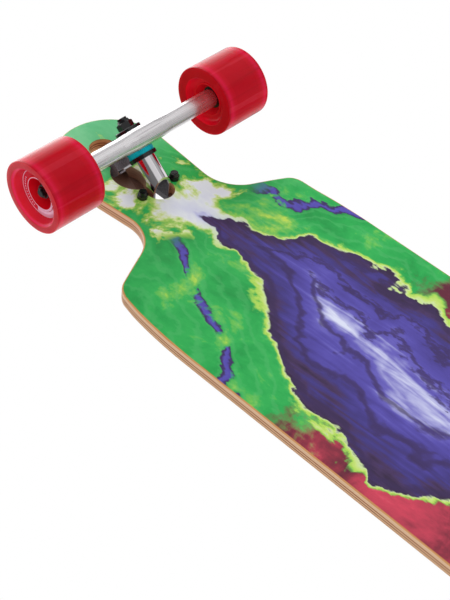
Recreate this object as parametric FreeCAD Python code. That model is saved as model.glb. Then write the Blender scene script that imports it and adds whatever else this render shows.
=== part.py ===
import FreeCAD, Part
import math
import os

# Drop-through longboard, standing on its wheels.
# Millimetres. X runs along the board, Y along the axles, Z up.
# The origin is on the floor, below the middle of the board.

Vector = FreeCAD.Vector
X_AXIS = Vector(1, 0, 0)
Y_AXIS = Vector(0, 1, 0)
Z_AXIS = Vector(0, 0, 1)

# Deck
deck_length = 1016.0
deck_width = 249.0
deck_thickness = 13.0
deck_edge_radius = 2.0
nose_radius = 57.0
axle_to_nose = 98.0
neck_corner_inset = 64.7
neck_half_width = 47.2
neck_corner_radius = 40.0
shoulder_inset = 94.2
shoulder_drop = 7.6
shoulder_radius = 18.5
flank_straight = 3.8
side_blend_radius = 500.0
concave_rise = 7.0
concave_start_inset = 60.0
concave_full_inset = 125.0
underside_above_axle = 49.4

# Drop-through cut-out, placed from the axle
slot_half_width = 14.5
slot_inboard_end = 39.5
slot_outboard_end = 68.5
cutout_circle_radius = 25.4
cutout_circle_offset = 7.5

# Grip tape
tape_thickness = 0.9
tape_lift = 0.05
tape_edge_inset = 4.0
tape_window_gap = 1.0

# Mounting hardware, placed from the axle
bolt_inboard_offset = 23.0
bolt_outboard_offset = 40.5
bolt_half_spacing_y = 20.65
bolt_radius = 2.4
bolt_hole_clearance = 0.2
bolt_head_radius = 4.6
bolt_head_height = 2.8
bolt_drive_flats = 3.2
bolt_drive_depth = 1.6
bolt_tip_length = 0.4
mount_nut_flats = 9.5
mount_nut_height = 4.6
mount_nut_collar_radius = 4.4
mount_nut_collar_height = 3.2

# Truck geometry
kingpin_tilt = 40.0
ring_to_axle = 18.5
pivot_to_ring = 40.0

# Baseplate
flange_thickness = 6.0
flange_inboard_end = 36.0
flange_outboard_end = 62.0
flange_half_width = 29.0
flange_corner_radius = 10.0
boss_radius = 11.0
boss_depth = 22.0
boss_inboard_end = 28.0
head_pocket_radius = 8.6
tower_radius = 11.5
tower_inboard_reach = 20.0
cup_wall = 2.6
cup_floor = 2.5
cup_length = 13.0
cup_gap = 0.3
press_gap = 0.02

# Kingpin stack
kingpin_radius = 4.76
kingpin_head_flats = 14.0
kingpin_head_height = 6.5
kingpin_tip_length = 2.0
boss_wall = 12.0
kingpin_nut_flats = 14.3
kingpin_nut_height = 6.5
kingpin_nut_collar_radius = 6.4
kingpin_nut_collar_height = 2.5
bushing_bore_gap = 0.25
boardside_bushing_radius = 13.0
boardside_bushing_waist = 12.3
boardside_bushing_height = 14.0
roadside_bushing_radius = 12.6
roadside_bushing_end_radius = 12.0
roadside_bushing_height = 9.0
cup_washer_thickness = 2.0
boardside_lip_height = 2.0
roadside_lip_height = 1.5
cup_washer_lip_wall = 0.9
cup_washer_edge_chamfer = 0.6
cup_washer_gap = 0.15

# Hanger
hanger_length = 180.0
tube_radius = 9.0
tube_end_chamfer = 0.8
ring_web = 5.0
ring_bore_radius = 6.6
boardside_seat_depth = 4.0
roadside_seat_depth = 2.5
ring_wall = 4.0
seat_gap = 0.3
shoulder_cone_length = 16.0
shoulder_cone_radius = 10.0
pivot_arm_radius = 8.0
pivot_nose_radius = 6.0
arm_mouth_gap = 0.5
ring_edge_chamfer = 0.8

# Axle
axle_radius = 3.97
axle_tip_length = 1.5
axle_tip_chamfer = 0.6
speed_washer_radius = 6.0
speed_washer_thickness = 1.0
axle_nut_flats = 12.7
axle_nut_height = 5.0
axle_nut_collar_radius = 5.6
axle_nut_collar_height = 2.0

# Bearings
bearing_bore_radius = 4.0
bearing_outer_radius = 11.0
bearing_width = 7.0
inner_race_radius = 6.0
outer_race_land = 9.0
ball_count = 7
ball_radius = 1.8
ball_pitch_radius = 7.5
ball_gap = 0.3
shield_thickness = 0.4
shield_gap = 0.3
spacer_length = 10.0
spacer_radius = 5.4

# Wheels
wheel_diameter = 70.0
wheel_width = 54.0
wheel_offset = 3.5
lip_radius = 1.2
dish_mouth_radius = 28.6
dish_chamfer_radius = 26.0
dish_chamfer_depth = 2.0
dish_floor_radius = 24.6
dish_depth = 9.0
recess_mouth_radius = 24.5
recess_floor_radius = 22.0
inner_recess_depth = 6.0
core_radius = 17.5
core_funnel_radius = 15.8
core_bearing_stop_radius = 9.6
core_face_step = 0.5
funnel_foot_radius = 11.6

# Shares of a size, and a length that reaches past a truck
hexagon_corner_share = 0.9
nut_collar_taper = 0.86
bolt_head_round_share = 0.6
bushing_barrel_share = 0.62
shoulder_start_share = 0.75
arm_start_share = 0.6
sheet_oversize = 1.05
beyond = 100.0

# Derived places
wheel_radius = wheel_diameter / 2
axle_x = deck_length / 2 - axle_to_nose
axle_z = wheel_radius
underside_z = axle_z + underside_above_axle
deck_top_z = underside_z + deck_thickness
flange_top_z = deck_top_z + flange_thickness
half_width = deck_width / 2
shoulder_half_width = half_width - shoulder_drop
bolt_hole_radius = bolt_radius + bolt_hole_clearance

tilt = math.radians(kingpin_tilt)
kingpin_dir = Vector(math.cos(tilt), 0, -math.sin(tilt))
steer_dir = Vector(-math.sin(tilt), 0, -math.cos(tilt))
axle_centre = Vector(axle_x, 0, axle_z)
ring_centre = axle_centre - steer_dir * ring_to_axle

ring_inner_side = -ring_web / 2
ring_outer_side = ring_web / 2
boardside_seat = ring_inner_side - boardside_seat_depth
roadside_seat = ring_outer_side + roadside_seat_depth
boardside_washer_at = ring_inner_side - boardside_bushing_height
boss_top = boardside_washer_at - cup_washer_thickness
head_seat = boss_top - boss_wall
roadside_washer_at = ring_outer_side + roadside_bushing_height
nut_seat = roadside_washer_at + cup_washer_thickness
nut_end = nut_seat + kingpin_nut_height + kingpin_nut_collar_height

boardside_seat_radius = boardside_bushing_radius + seat_gap
roadside_seat_radius = roadside_bushing_radius + seat_gap
ring_radius = boardside_seat_radius + ring_wall
cup_bore_radius = pivot_nose_radius + cup_gap
cup_radius = cup_bore_radius + cup_wall
cup_mouth = ring_centre - steer_dir * (pivot_to_ring - cup_length / 2)
cup_end = cup_mouth - steer_dir * cup_length
nose_centre = cup_end + steer_dir * (cup_floor + cup_bore_radius)

hub_width = 2 * bearing_width + spacer_length
hub_inner_y = hanger_length / 2 + speed_washer_thickness
hub_outer_y = hub_inner_y + hub_width
wheel_centre_y = (hub_inner_y + hub_outer_y) / 2 + wheel_offset
lip_inner_y = wheel_centre_y - wheel_width / 2
lip_outer_y = wheel_centre_y + wheel_width / 2
axle_nut_y = hub_outer_y + speed_washer_thickness
axle_nut_end_y = axle_nut_y + axle_nut_height + axle_nut_collar_height
axle_end_y = axle_nut_end_y + axle_tip_length

os.makedirs("parts", exist_ok=True)


def save(shape, name):
    """Writes one piece to its own file."""
    shape.exportStep("parts/" + name + ".step")


def save_both(shape, name):
    """Writes a piece of the front truck and its twin, turned half round, for the rear truck."""
    save(shape, "front_" + name)
    save(shape.rotated(Vector(0, 0, 0), Z_AXIS, 180), "rear_" + name)


def group(shapes):
    """Joins separate solids of one kind into one piece of the list."""
    return Part.makeCompound(shapes)


def on_kingpin(distance):
    """A point of the kingpin's line, counted from the ring towards the nut."""
    return ring_centre + kingpin_dir * distance


def on_steer_axis(distance):
    """A point of the steering line, counted from the ring towards the pivot."""
    return ring_centre - steer_dir * distance


def rod(radius, start, end):
    """A round bar between two points."""
    way = end - start
    return Part.makeCylinder(radius, way.Length, start, way)


def taper(start_radius, end_radius, start, end):
    """A cone between two points."""
    way = end - start
    return Part.makeCone(start_radius, end_radius, way.Length, start, way)


def tube(outer_radius, inner_radius, start, end):
    """A round sleeve between two points."""
    return rod(outer_radius, start, end).cut(rod(inner_radius, start, end))


def hexagon(flats, start, end):
    """A six-sided bar between two points, with its corners on the side turned off."""
    way = end - start
    corner = flats / math.sqrt(3)
    points = []
    for step in range(7):
        angle = math.radians(60 * step)
        points.append(Vector(corner * math.cos(angle), corner * math.sin(angle), 0))
    bar = Part.Face(Part.makePolygon(points)).extrude(Vector(0, 0, way.Length))
    turned_off = (corner - flats / 2) * hexagon_corner_share
    blank = Part.makeCylinder(corner, way.Length)
    blank = blank.makeChamfer(turned_off, [edge for edge in blank.Edges if edge.Closed])
    bar = bar.common(blank)
    bar.Placement = FreeCAD.Placement(start, FreeCAD.Rotation(Z_AXIS, way))
    return bar


def spun(points, centre, axis, outward):
    """A closed profile of (radius, distance along the axis) corners, turned about the axis."""
    corners = []
    for radius, along in points:
        corners.append(centre + outward * radius + axis * along)
    corners.append(corners[0])
    return Part.Face(Part.makePolygon(corners)).revolve(centre, axis, 360)


def nylock(flats, height, collar_radius, collar_height, bore_radius, seat, way):
    """A lock nut: a hexagon with a round collar, bored through."""
    shoulder = seat + way * height
    end = shoulder + way * collar_height
    body = hexagon(flats, seat, shoulder)
    body = body.fuse(taper(collar_radius, collar_radius * nut_collar_taper, shoulder, end))
    return body.cut(rod(bore_radius, seat, end)).removeSplitter()


# Deck outline

def rounded_path(corners):
    """Straight edges through (point, radius) corners, each corner rounded by its radius."""
    edges = []
    last = corners[0][0]
    for index in range(1, len(corners) - 1):
        at, radius = corners[index]
        back = (corners[index - 1][0] - at).normalize()
        ahead = (corners[index + 1][0] - at).normalize()
        half_angle = back.getAngle(ahead) / 2
        reach = radius / math.tan(half_angle)
        start = at + back * reach
        end = at + ahead * reach
        bisector = (back + ahead).normalize()
        middle = at + bisector * (radius / math.sin(half_angle) - radius)
        edges.append(Part.makeLine(last, start))
        edges.append(Part.Arc(start, middle, end).toShape())
        last = end
    edges.append(Part.makeLine(last, corners[-1][0]))
    return edges


def flipped(point, along, across):
    """A point of one quarter of the outline, carried to another quarter."""
    return Vector(point.x * along, point.y * across, 0)


def side_corner(neck, shoulder):
    """The corner of flank and side: the flank leans so that both arcs and its straight stretch just fit."""
    heading = math.atan2(shoulder.y - neck.y, neck.x - shoulder.x)
    flattest = 0.0
    steepest = heading
    for halving in range(60):
        lean = (flattest + steepest) / 2
        arcs = shoulder_radius * math.tan((heading - lean) / 2) + side_blend_radius * math.tan(lean / 2)
        if (arcs + flank_straight) * math.sin(lean) < shoulder_drop:
            flattest = lean
        else:
            steepest = lean
    return Vector(shoulder.x - shoulder_drop / math.tan(lean), half_width, 0)


def deck_wire():
    """The deck's outline: two round noses, and a necked and shouldered edge on each side."""
    nose_centre_x = deck_length / 2 - nose_radius
    neck = Vector(axle_x - neck_corner_inset, neck_half_width, 0)
    shoulder = Vector(axle_x - shoulder_inset, shoulder_half_width, 0)
    side = side_corner(neck, shoulder)
    reach = math.hypot(nose_centre_x - neck.x, neck.y)
    angle = math.atan2(neck.y, neck.x - nose_centre_x) - math.acos(nose_radius / reach)
    touch = Vector(nose_centre_x + nose_radius * math.cos(angle), nose_radius * math.sin(angle), 0)
    tip = Vector(deck_length / 2, 0, 0)
    quarter = [(touch, 0), (neck, neck_corner_radius), (shoulder, shoulder_radius), (side, side_blend_radius)]
    edges = []
    for across in (1, -1):
        front = [(flipped(point, 1, across), radius) for point, radius in quarter]
        rear = [(flipped(point, -1, across), radius) for point, radius in reversed(quarter)]
        edges.extend(rounded_path(front + rear))
    for along in (1, -1):
        ends = [flipped(touch, along, 1), flipped(tip, along, 1), flipped(touch, along, -1)]
        edges.append(Part.Arc(*ends).toShape())
    return Part.Wire(Part.__sortEdges__(edges))


def pressed_sheet(bottom_z, thickness):
    """A pressed sheet larger than the deck: flat at both ends, with sides that rise as the width squared."""
    flat_x = axle_x - concave_start_inset
    full_x = axle_x - concave_full_inset
    step = (flat_x - full_x) / 3
    ahead = [(flat_x, 0), (flat_x - step, 0), (full_x + step, 1), (full_x / 3, 1)]
    lengthwise = [(-x, share) for x, share in ahead] + ahead[::-1]
    edge_y = half_width * sheet_oversize
    edge_rise = concave_rise * sheet_oversize ** 2
    crosswise = [(-edge_y, edge_rise), (0, -edge_rise), (edge_y, edge_rise)]
    poles = []
    for x, share in lengthwise:
        poles.append([Vector(x, y, bottom_z + share * rise) for y, rise in crosswise])
    surface = Part.BSplineSurface()
    knots = [-flat_x, -full_x, full_x, flat_x]
    edges = [-edge_y, edge_y]
    surface.buildFromPolesMultsKnots(poles, [4, 2, 2, 4], [3, 3], knots, edges, False, False, 3, 2)
    sheet = surface.toShape().extrude(Vector(0, 0, thickness))
    end_length = deck_length / 2 * sheet_oversize - flat_x
    end_width = deck_width * sheet_oversize
    for corner_x in (flat_x, -flat_x - end_length):
        corner = Vector(corner_x, -end_width / 2, bottom_z)
        sheet = sheet.fuse(Part.makeBox(end_length, end_width, thickness, corner))
    return sheet


def plate(wire, bottom_z, height):
    """A flat plate of the outline's shape."""
    face = Part.Face(wire)
    face.translate(Vector(0, 0, bottom_z))
    return face.extrude(Vector(0, 0, height))


def cutout(margin):
    """The front truck's opening, grown by a margin: a round-ended slot and a larger circle."""
    deep = deck_thickness * 3
    low_z = underside_z - deck_thickness
    side = slot_half_width + margin
    first = axle_x - slot_inboard_end + slot_half_width
    last = axle_x + slot_outboard_end - slot_half_width
    opening = Part.makeBox(last - first, 2 * side, deep, Vector(first, -side, low_z))
    for x in (first, last):
        opening = opening.fuse(Part.makeCylinder(side, deep, Vector(x, 0, low_z)))
    circle_centre = Vector(axle_x + cutout_circle_offset, 0, low_z)
    circle = Part.makeCylinder(cutout_circle_radius + margin, deep, circle_centre)
    return opening.fuse(circle).removeSplitter()


def bolt_places():
    """The four mounting bolt places of the front truck, at floor level."""
    places = []
    for x in (axle_x - bolt_inboard_offset, axle_x + bolt_outboard_offset):
        for y in (-bolt_half_spacing_y, bolt_half_spacing_y):
            places.append(Vector(x, y, 0))
    return places


def twin(shape):
    """The same shape at the rear truck."""
    return shape.rotated(Vector(0, 0, 0), Z_AXIS, 180)


def bolt_holes(bottom_z, height):
    """Clearance holes for the mounting bolts of the front truck."""
    holes = []
    for place in bolt_places():
        holes.append(Part.makeCylinder(bolt_hole_radius, height, place + Z_AXIS * bottom_z))
    return holes


def make_deck():
    """The plywood deck with its openings and rounded rims."""
    outline = plate(deck_wire(), underside_z - deck_thickness, deck_thickness * 4)
    deck = pressed_sheet(underside_z, deck_thickness).common(outline)
    deck = deck.removeSplitter().Solids[0]
    rims = []
    for edge in deck.Edges:
        low = edge.BoundBox.ZMin
        high = edge.BoundBox.ZMax
        middle = edge.valueAt((edge.FirstParameter + edge.LastParameter) / 2)
        upright = high - low > deck_thickness * 0.9 and edge.BoundBox.DiagonalLength < deck_thickness * 1.1
        seam = abs(middle.y) < neck_half_width * 0.5 and abs(middle.x) < deck_length / 2 - nose_radius
        if not upright and not seam:
            rims.append(edge)
    deck = deck.makeFillet(deck_edge_radius, rims)
    holes = [cutout(0)] + bolt_holes(underside_z - deck_thickness, deck_thickness * 3)
    for hole in holes:
        deck = deck.cut(hole).cut(twin(hole))
    return deck


def flange_wire(margin):
    """The outline of the front baseplate's flange, grown by a margin."""
    low_x = axle_x - flange_inboard_end - margin
    high_x = axle_x + flange_outboard_end + margin
    side = flange_half_width + margin
    radius = flange_corner_radius + margin
    middle_x = (low_x + high_x) / 2
    corners = [(Vector(middle_x, -side, 0), 0)]
    corners.append((Vector(high_x, -side, 0), radius))
    corners.append((Vector(high_x, side, 0), radius))
    corners.append((Vector(low_x, side, 0), radius))
    corners.append((Vector(low_x, -side, 0), radius))
    corners.append((Vector(middle_x, -side, 0), 0))
    return Part.Wire(rounded_path(corners))


def make_tape():
    """The grip tape on the standing side, open around both flanges."""
    wire = deck_wire().makeOffset2D(-tape_edge_inset)
    outline = plate(wire, underside_z, deck_thickness * 3)
    tape = pressed_sheet(deck_top_z + tape_lift, tape_thickness).common(outline).removeSplitter()
    window = plate(flange_wire(tape_window_gap), underside_z, deck_thickness * 3)
    window = window.fuse(cutout(tape_window_gap))
    return tape.cut(window).cut(twin(window))


save(make_deck(), "deck")
save(make_tape(), "grip_tape")


# Mounting hardware

def make_mounting_bolts():
    """Four bolts with round heads on the flange, each with a hexagon drive."""
    bolts = []
    nut_end_z = underside_z - mount_nut_height - mount_nut_collar_height
    for place in bolt_places():
        seat = place + Z_AXIS * flange_top_z
        top = seat + Z_AXIS * bolt_head_height
        tip = place + Z_AXIS * (nut_end_z - bolt_tip_length)
        head = rod(bolt_head_radius, seat, top)
        upper = [edge for edge in head.Edges if edge.BoundBox.ZMin > seat.z + 1]
        head = head.makeFillet(bolt_head_height * bolt_head_round_share, upper)
        bolt = head.fuse(rod(bolt_radius, tip, seat))
        drive = hexagon(bolt_drive_flats, top - Z_AXIS * bolt_drive_depth, top + Z_AXIS * bolt_drive_depth)
        bolts.append(bolt.cut(drive).removeSplitter())
    return group(bolts)


def make_mounting_nuts():
    """Four lock nuts against the underside of the deck."""
    nuts = []
    for place in bolt_places():
        seat = place + Z_AXIS * underside_z
        bore = bolt_radius + press_gap
        nuts.append(nylock(mount_nut_flats, mount_nut_height, mount_nut_collar_radius,
                           mount_nut_collar_height, bore, seat, Z_AXIS * -1))
    return group(nuts)


save_both(make_mounting_bolts(), "mounting_bolts")
save_both(make_mounting_nuts(), "mounting_nuts")


# Baseplate

def trough(radius, depth, start):
    """A bar along the kingpin's line: round towards the road, straight-sided towards the deck."""
    side = Y_AXIS * radius
    rise = steer_dir * -depth
    arc = Part.Arc(start - side, start + steer_dir * radius, start + side).toShape()
    sides = Part.makePolygon([start + side, start + side + rise, start - side + rise, start - side])
    return Part.Face(Part.Wire([arc] + sides.Edges)).extrude(kingpin_dir * -beyond)


def make_boss():
    """The kingpin boss, upright at its inboard end."""
    boss = trough(boss_radius, boss_depth, on_kingpin(boss_top))
    low = Vector(axle_x - boss_inboard_end, -beyond / 2, 0)
    return boss.common(Part.makeBox(2 * beyond, beyond, flange_top_z, low))


def make_head_channel():
    """The room for the kingpin's head, open inboard and upwards through the flange."""
    seat = on_kingpin(head_seat)
    room = trough(head_pocket_radius, beyond, seat)
    outboard_x = seat.x + head_pocket_radius * math.sin(tilt)
    low = Vector(outboard_x - 2 * beyond, -beyond / 2, 0)
    return room.common(Part.makeBox(2 * beyond, beyond, 2 * beyond, low))


def make_tower():
    """The pivot tower: round outboard of the pivot, straight-sided inboard of it."""
    side = Y_AXIS * tower_radius
    reach = kingpin_dir * tower_inboard_reach
    arc = Part.Arc(cup_mouth - side, cup_mouth + kingpin_dir * tower_radius, cup_mouth + side).toShape()
    corners = [cup_mouth + side, cup_mouth + side - reach, cup_mouth - side - reach, cup_mouth - side]
    sides = Part.makePolygon(corners)
    tower = Part.Face(Part.Wire([arc] + sides.Edges)).extrude(steer_dir * -beyond)
    low = Vector(axle_x - beyond, -beyond / 2, 0)
    return tower.common(Part.makeBox(beyond + flange_outboard_end, beyond, flange_top_z, low))


def make_baseplate():
    """The cast baseplate: a flange, the kingpin boss and the pivot tower."""
    flange = plate(flange_wire(0), deck_top_z, flange_thickness)
    body = flange.fuse(make_boss()).fuse(make_tower())
    body = body.removeSplitter()
    pin_hole = kingpin_radius + press_gap
    body = body.cut(rod(pin_hole, on_kingpin(head_seat - 1), on_kingpin(boss_top + 1)))
    body = body.cut(make_head_channel())
    body = body.cut(rod(cup_radius + press_gap, cup_mouth, cup_end))
    for hole in bolt_holes(deck_top_z - 1, flange_thickness + 2):
        body = body.cut(hole)
    return body.removeSplitter()


def make_pivot_cup():
    """The urethane cup that the pivot nose turns in."""
    cup = rod(cup_radius, cup_mouth, cup_end)
    cup = cup.cut(rod(cup_bore_radius, cup_mouth + steer_dir, nose_centre))
    return cup.cut(Part.makeSphere(cup_bore_radius, nose_centre))


save_both(make_baseplate(), "baseplate")
save_both(make_pivot_cup(), "pivot_cup")


# Kingpin stack

def make_kingpin():
    """The kingpin with its hexagon head."""
    tip = on_kingpin(nut_end + kingpin_tip_length)
    head = hexagon(kingpin_head_flats, on_kingpin(head_seat - kingpin_head_height), on_kingpin(head_seat))
    return head.fuse(rod(kingpin_radius, on_kingpin(head_seat), tip)).removeSplitter()


def make_kingpin_nut():
    """The lock nut that holds the stack together."""
    return nylock(kingpin_nut_flats, kingpin_nut_height, kingpin_nut_collar_radius,
                  kingpin_nut_collar_height, kingpin_radius + press_gap, on_kingpin(nut_seat), kingpin_dir)


def cup_washer(bushing_radius, lip_height, seat, way):
    """A dished washer: a disc under the bushing with a lip round the bushing's end."""
    inner = bushing_radius + cup_washer_gap
    outer = inner + cup_washer_lip_wall
    hole = kingpin_radius + press_gap
    points = [(hole, -cup_washer_thickness), (outer - cup_washer_edge_chamfer, -cup_washer_thickness)]
    points += [(outer, -cup_washer_thickness + cup_washer_edge_chamfer), (outer, lip_height)]
    points += [(inner, lip_height), (inner, 0), (hole, 0)]
    return spun(points, on_kingpin(seat), way, Y_AXIS)


def make_boardside_washer():
    """The washer between the boss and the taller bushing."""
    return cup_washer(boardside_bushing_radius, boardside_lip_height, boardside_washer_at, kingpin_dir)


def make_roadside_washer():
    """The washer between the shorter bushing and the nut."""
    return cup_washer(roadside_bushing_end_radius, roadside_lip_height, roadside_washer_at, kingpin_dir * -1)


def make_boardside_bushing():
    """The taller bushing between ring and boss: a barrel with a slight waist at its upper end."""
    bore = kingpin_radius + bushing_bore_gap
    height = boardside_bushing_height
    points = [(bore, 0), (boardside_bushing_radius, 0)]
    points += [(boardside_bushing_radius, height * bushing_barrel_share)]
    points += [(boardside_bushing_waist, height), (bore, height)]
    return spun(points, on_kingpin(boardside_washer_at), kingpin_dir, Y_AXIS)


def make_roadside_bushing():
    """The shorter bushing under the nut: a cone that narrows to the washer."""
    bore = kingpin_radius + bushing_bore_gap
    height = roadside_bushing_height
    points = [(bore, 0), (roadside_bushing_radius, 0), (roadside_bushing_radius, roadside_seat_depth)]
    points += [(roadside_bushing_end_radius, height), (bore, height)]
    return spun(points, on_kingpin(ring_outer_side), kingpin_dir, Y_AXIS)


save_both(make_kingpin(), "kingpin")
save_both(make_kingpin_nut(), "kingpin_nut")
save_both(make_boardside_washer(), "boardside_washer")
save_both(make_roadside_washer(), "roadside_washer")
save_both(make_boardside_bushing(), "boardside_bushing")
save_both(make_roadside_bushing(), "roadside_bushing")


# Hanger

def make_hanger():
    """The hanger: a cross tube, a ring block for the bushings and a pivot nose."""
    end_y = hanger_length / 2
    points = [(0, -end_y), (tube_radius - tube_end_chamfer, -end_y), (tube_radius, -end_y + tube_end_chamfer)]
    shoulder_y = ring_radius * shoulder_start_share
    points += [(tube_radius, -shoulder_y - shoulder_cone_length), (shoulder_cone_radius, -shoulder_y)]
    points += [(radius, -along) for radius, along in reversed(points)]
    body = spun(points, axle_centre, Y_AXIS, X_AXIS)
    ring = rod(ring_radius, on_kingpin(boardside_seat), on_kingpin(roadside_seat))
    ring = ring.makeChamfer(ring_edge_chamfer, [edge for edge in ring.Edges if edge.Closed])
    corner = on_kingpin(boardside_seat + ring_edge_chamfer)
    side = Y_AXIS * ring_radius
    reach = steer_dir * ring_to_axle
    corners = [corner - side, corner + side, corner + side + reach, corner - side + reach, corner - side]
    block_height = roadside_seat - boardside_seat - 2 * ring_edge_chamfer
    block = Part.Face(Part.makePolygon(corners)).extrude(kingpin_dir * block_height)
    nose_start = cup_mouth + steer_dir * arm_mouth_gap
    neck_start = nose_start + steer_dir * (pivot_arm_radius - pivot_nose_radius)
    arm = rod(pivot_arm_radius, on_steer_axis(ring_radius * arm_start_share), neck_start)
    arm = arm.fuse(taper(pivot_arm_radius, pivot_nose_radius, neck_start, nose_start))
    arm = arm.fuse(rod(pivot_nose_radius, nose_start, nose_centre))
    arm = arm.fuse(Part.makeSphere(pivot_nose_radius, nose_centre))
    body = body.fuse(ring).fuse(block).fuse(arm).removeSplitter()
    far = shoulder_cone_radius + 5
    body = body.cut(rod(boardside_seat_radius, on_kingpin(-far), on_kingpin(ring_inner_side)))
    body = body.cut(rod(roadside_seat_radius, on_kingpin(ring_outer_side), on_kingpin(far)))
    body = body.cut(rod(ring_bore_radius, on_kingpin(-far), on_kingpin(far)))
    bore_end = Y_AXIS * (end_y + 1)
    body = body.cut(rod(axle_radius + press_gap, axle_centre - bore_end, axle_centre + bore_end))
    return body.removeSplitter()


def make_axle():
    """The axle, from one end of the truck to the other."""
    tip_radius = axle_radius - axle_tip_chamfer
    points = [(0, -axle_end_y), (tip_radius, -axle_end_y), (axle_radius, -axle_end_y + axle_tip_chamfer)]
    points += [(radius, -along) for radius, along in reversed(points)]
    return spun(points, axle_centre, Y_AXIS, X_AXIS)


def at_axle(y):
    """A point of the front axle's line."""
    return axle_centre + Y_AXIS * y


def make_speed_washers():
    """Four washers: one on each side of each wheel."""
    washers = []
    for side in (1, -1):
        for y in (hanger_length / 2, hub_outer_y):
            start = at_axle(side * y)
            end = at_axle(side * (y + speed_washer_thickness))
            washers.append(tube(speed_washer_radius, axle_radius + press_gap, start, end))
    return group(washers)


def make_axle_nuts():
    """Two lock nuts at the axle's ends."""
    nuts = []
    for side in (1, -1):
        nuts.append(nylock(axle_nut_flats, axle_nut_height, axle_nut_collar_radius, axle_nut_collar_height,
                           axle_radius + press_gap, at_axle(side * axle_nut_y), Y_AXIS * side))
    return group(nuts)


save_both(make_hanger(), "hanger")
save_both(make_axle(), "axle")
save_both(make_speed_washers(), "speed_washers")
save_both(make_axle_nuts(), "axle_nuts")


# Wheels, each built on the left end of the front axle

bearing_middles = (hub_inner_y + bearing_width / 2, hub_outer_y - bearing_width / 2)


def groove(y):
    """The ball track of a bearing, as a ring to cut away."""
    return Part.makeTorus(ball_pitch_radius, ball_radius + ball_gap, at_axle(y), Y_AXIS)


def make_outer_races():
    """The outer races of a wheel's two bearings."""
    races = []
    for y in bearing_middles:
        ends = (at_axle(y - bearing_width / 2), at_axle(y + bearing_width / 2))
        races.append(tube(bearing_outer_radius, outer_race_land, *ends).cut(groove(y)))
    return group(races)


def make_inner_races():
    """The inner races of a wheel's two bearings."""
    races = []
    for y in bearing_middles:
        ends = (at_axle(y - bearing_width / 2), at_axle(y + bearing_width / 2))
        races.append(tube(inner_race_radius, bearing_bore_radius, *ends).cut(groove(y)))
    return group(races)


def make_balls():
    """The balls of a wheel's two bearings."""
    balls = []
    for y in bearing_middles:
        for step in range(ball_count):
            angle = 2 * math.pi * step / ball_count
            offset = Vector(math.cos(angle), 0, math.sin(angle)) * ball_pitch_radius
            balls.append(Part.makeSphere(ball_radius, at_axle(y) + offset))
    return group(balls)


def make_shields():
    """The shields on both sides of a wheel's two bearings."""
    shields = []
    for y in bearing_middles:
        for face in (y - bearing_width / 2, y + bearing_width / 2 - shield_thickness):
            ends = (at_axle(face), at_axle(face + shield_thickness))
            shields.append(tube(outer_race_land - press_gap, inner_race_radius + shield_gap, *ends))
    return group(shields)


def make_spacer():
    """The sleeve between the two inner races."""
    start = at_axle(hub_inner_y + bearing_width)
    return tube(spacer_radius, bearing_bore_radius, start, at_axle(hub_outer_y - bearing_width))


def make_core():
    """The hard core that the bearings sit in, with a funnel on each side."""
    low = lip_inner_y + inner_recess_depth - core_face_step
    high = lip_outer_y - dish_depth + core_face_step
    seat = bearing_outer_radius + press_gap
    points = [(core_radius, low), (core_radius, high), (core_funnel_radius, high)]
    points += [(funnel_foot_radius, hub_outer_y)]
    points += [(seat, hub_outer_y), (seat, hub_outer_y - bearing_width)]
    points += [(core_bearing_stop_radius, hub_outer_y - bearing_width)]
    points += [(core_bearing_stop_radius, hub_inner_y + bearing_width)]
    points += [(seat, hub_inner_y + bearing_width), (seat, hub_inner_y)]
    points += [(funnel_foot_radius, hub_inner_y), (core_funnel_radius, low)]
    return spun(points, axle_centre, Y_AXIS, X_AXIS)


def make_tyre():
    """The urethane tyre: a round tread, a dished outer side and a shallow recess on the inner side."""
    recess_y = lip_inner_y + inner_recess_depth
    floor_y = lip_outer_y - dish_depth
    points = [(core_radius, recess_y), (recess_floor_radius, recess_y), (recess_mouth_radius, lip_inner_y)]
    points += [(wheel_radius, lip_inner_y), (wheel_radius, lip_outer_y), (dish_mouth_radius, lip_outer_y)]
    points += [(dish_chamfer_radius, lip_outer_y - dish_chamfer_depth), (dish_floor_radius, floor_y)]
    points += [(core_radius, floor_y)]
    tyre = spun(points, axle_centre, Y_AXIS, X_AXIS)
    rims = [edge for edge in tyre.Edges if edge.Closed and edge.BoundBox.XLength > wheel_diameter - 0.01]
    return tyre.makeFillet(lip_radius, rims)


wheel_pieces = {
    "tyre": make_tyre(),
    "wheel_core": make_core(),
    "bearing_outer_races": make_outer_races(),
    "bearing_inner_races": make_inner_races(),
    "bearing_balls": make_balls(),
    "bearing_shields": make_shields(),
    "bearing_spacer": make_spacer(),
}
for name, shape in wheel_pieces.items():
    other = shape.rotated(axle_centre, Z_AXIS, 180)
    save(shape, "front_left_" + name)
    save(other, "front_right_" + name)
    save(twin(shape), "rear_right_" + name)
    save(twin(other), "rear_left_" + name)
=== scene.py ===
"""Looks of a drop-through longboard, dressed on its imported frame.

The scene is in metres and the size fields are in millimetres. X runs along the board, Y along the axles and
Z up, and the board stands on its wheels. The camera looks up at the printed underside of the front end.
"""

import logging
import math
from abc import ABC, abstractmethod
from collections.abc import Mapping, Sequence
from dataclasses import dataclass
from enum import Enum

import bpy
import numpy as np
from mathutils import Matrix, Vector

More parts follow.
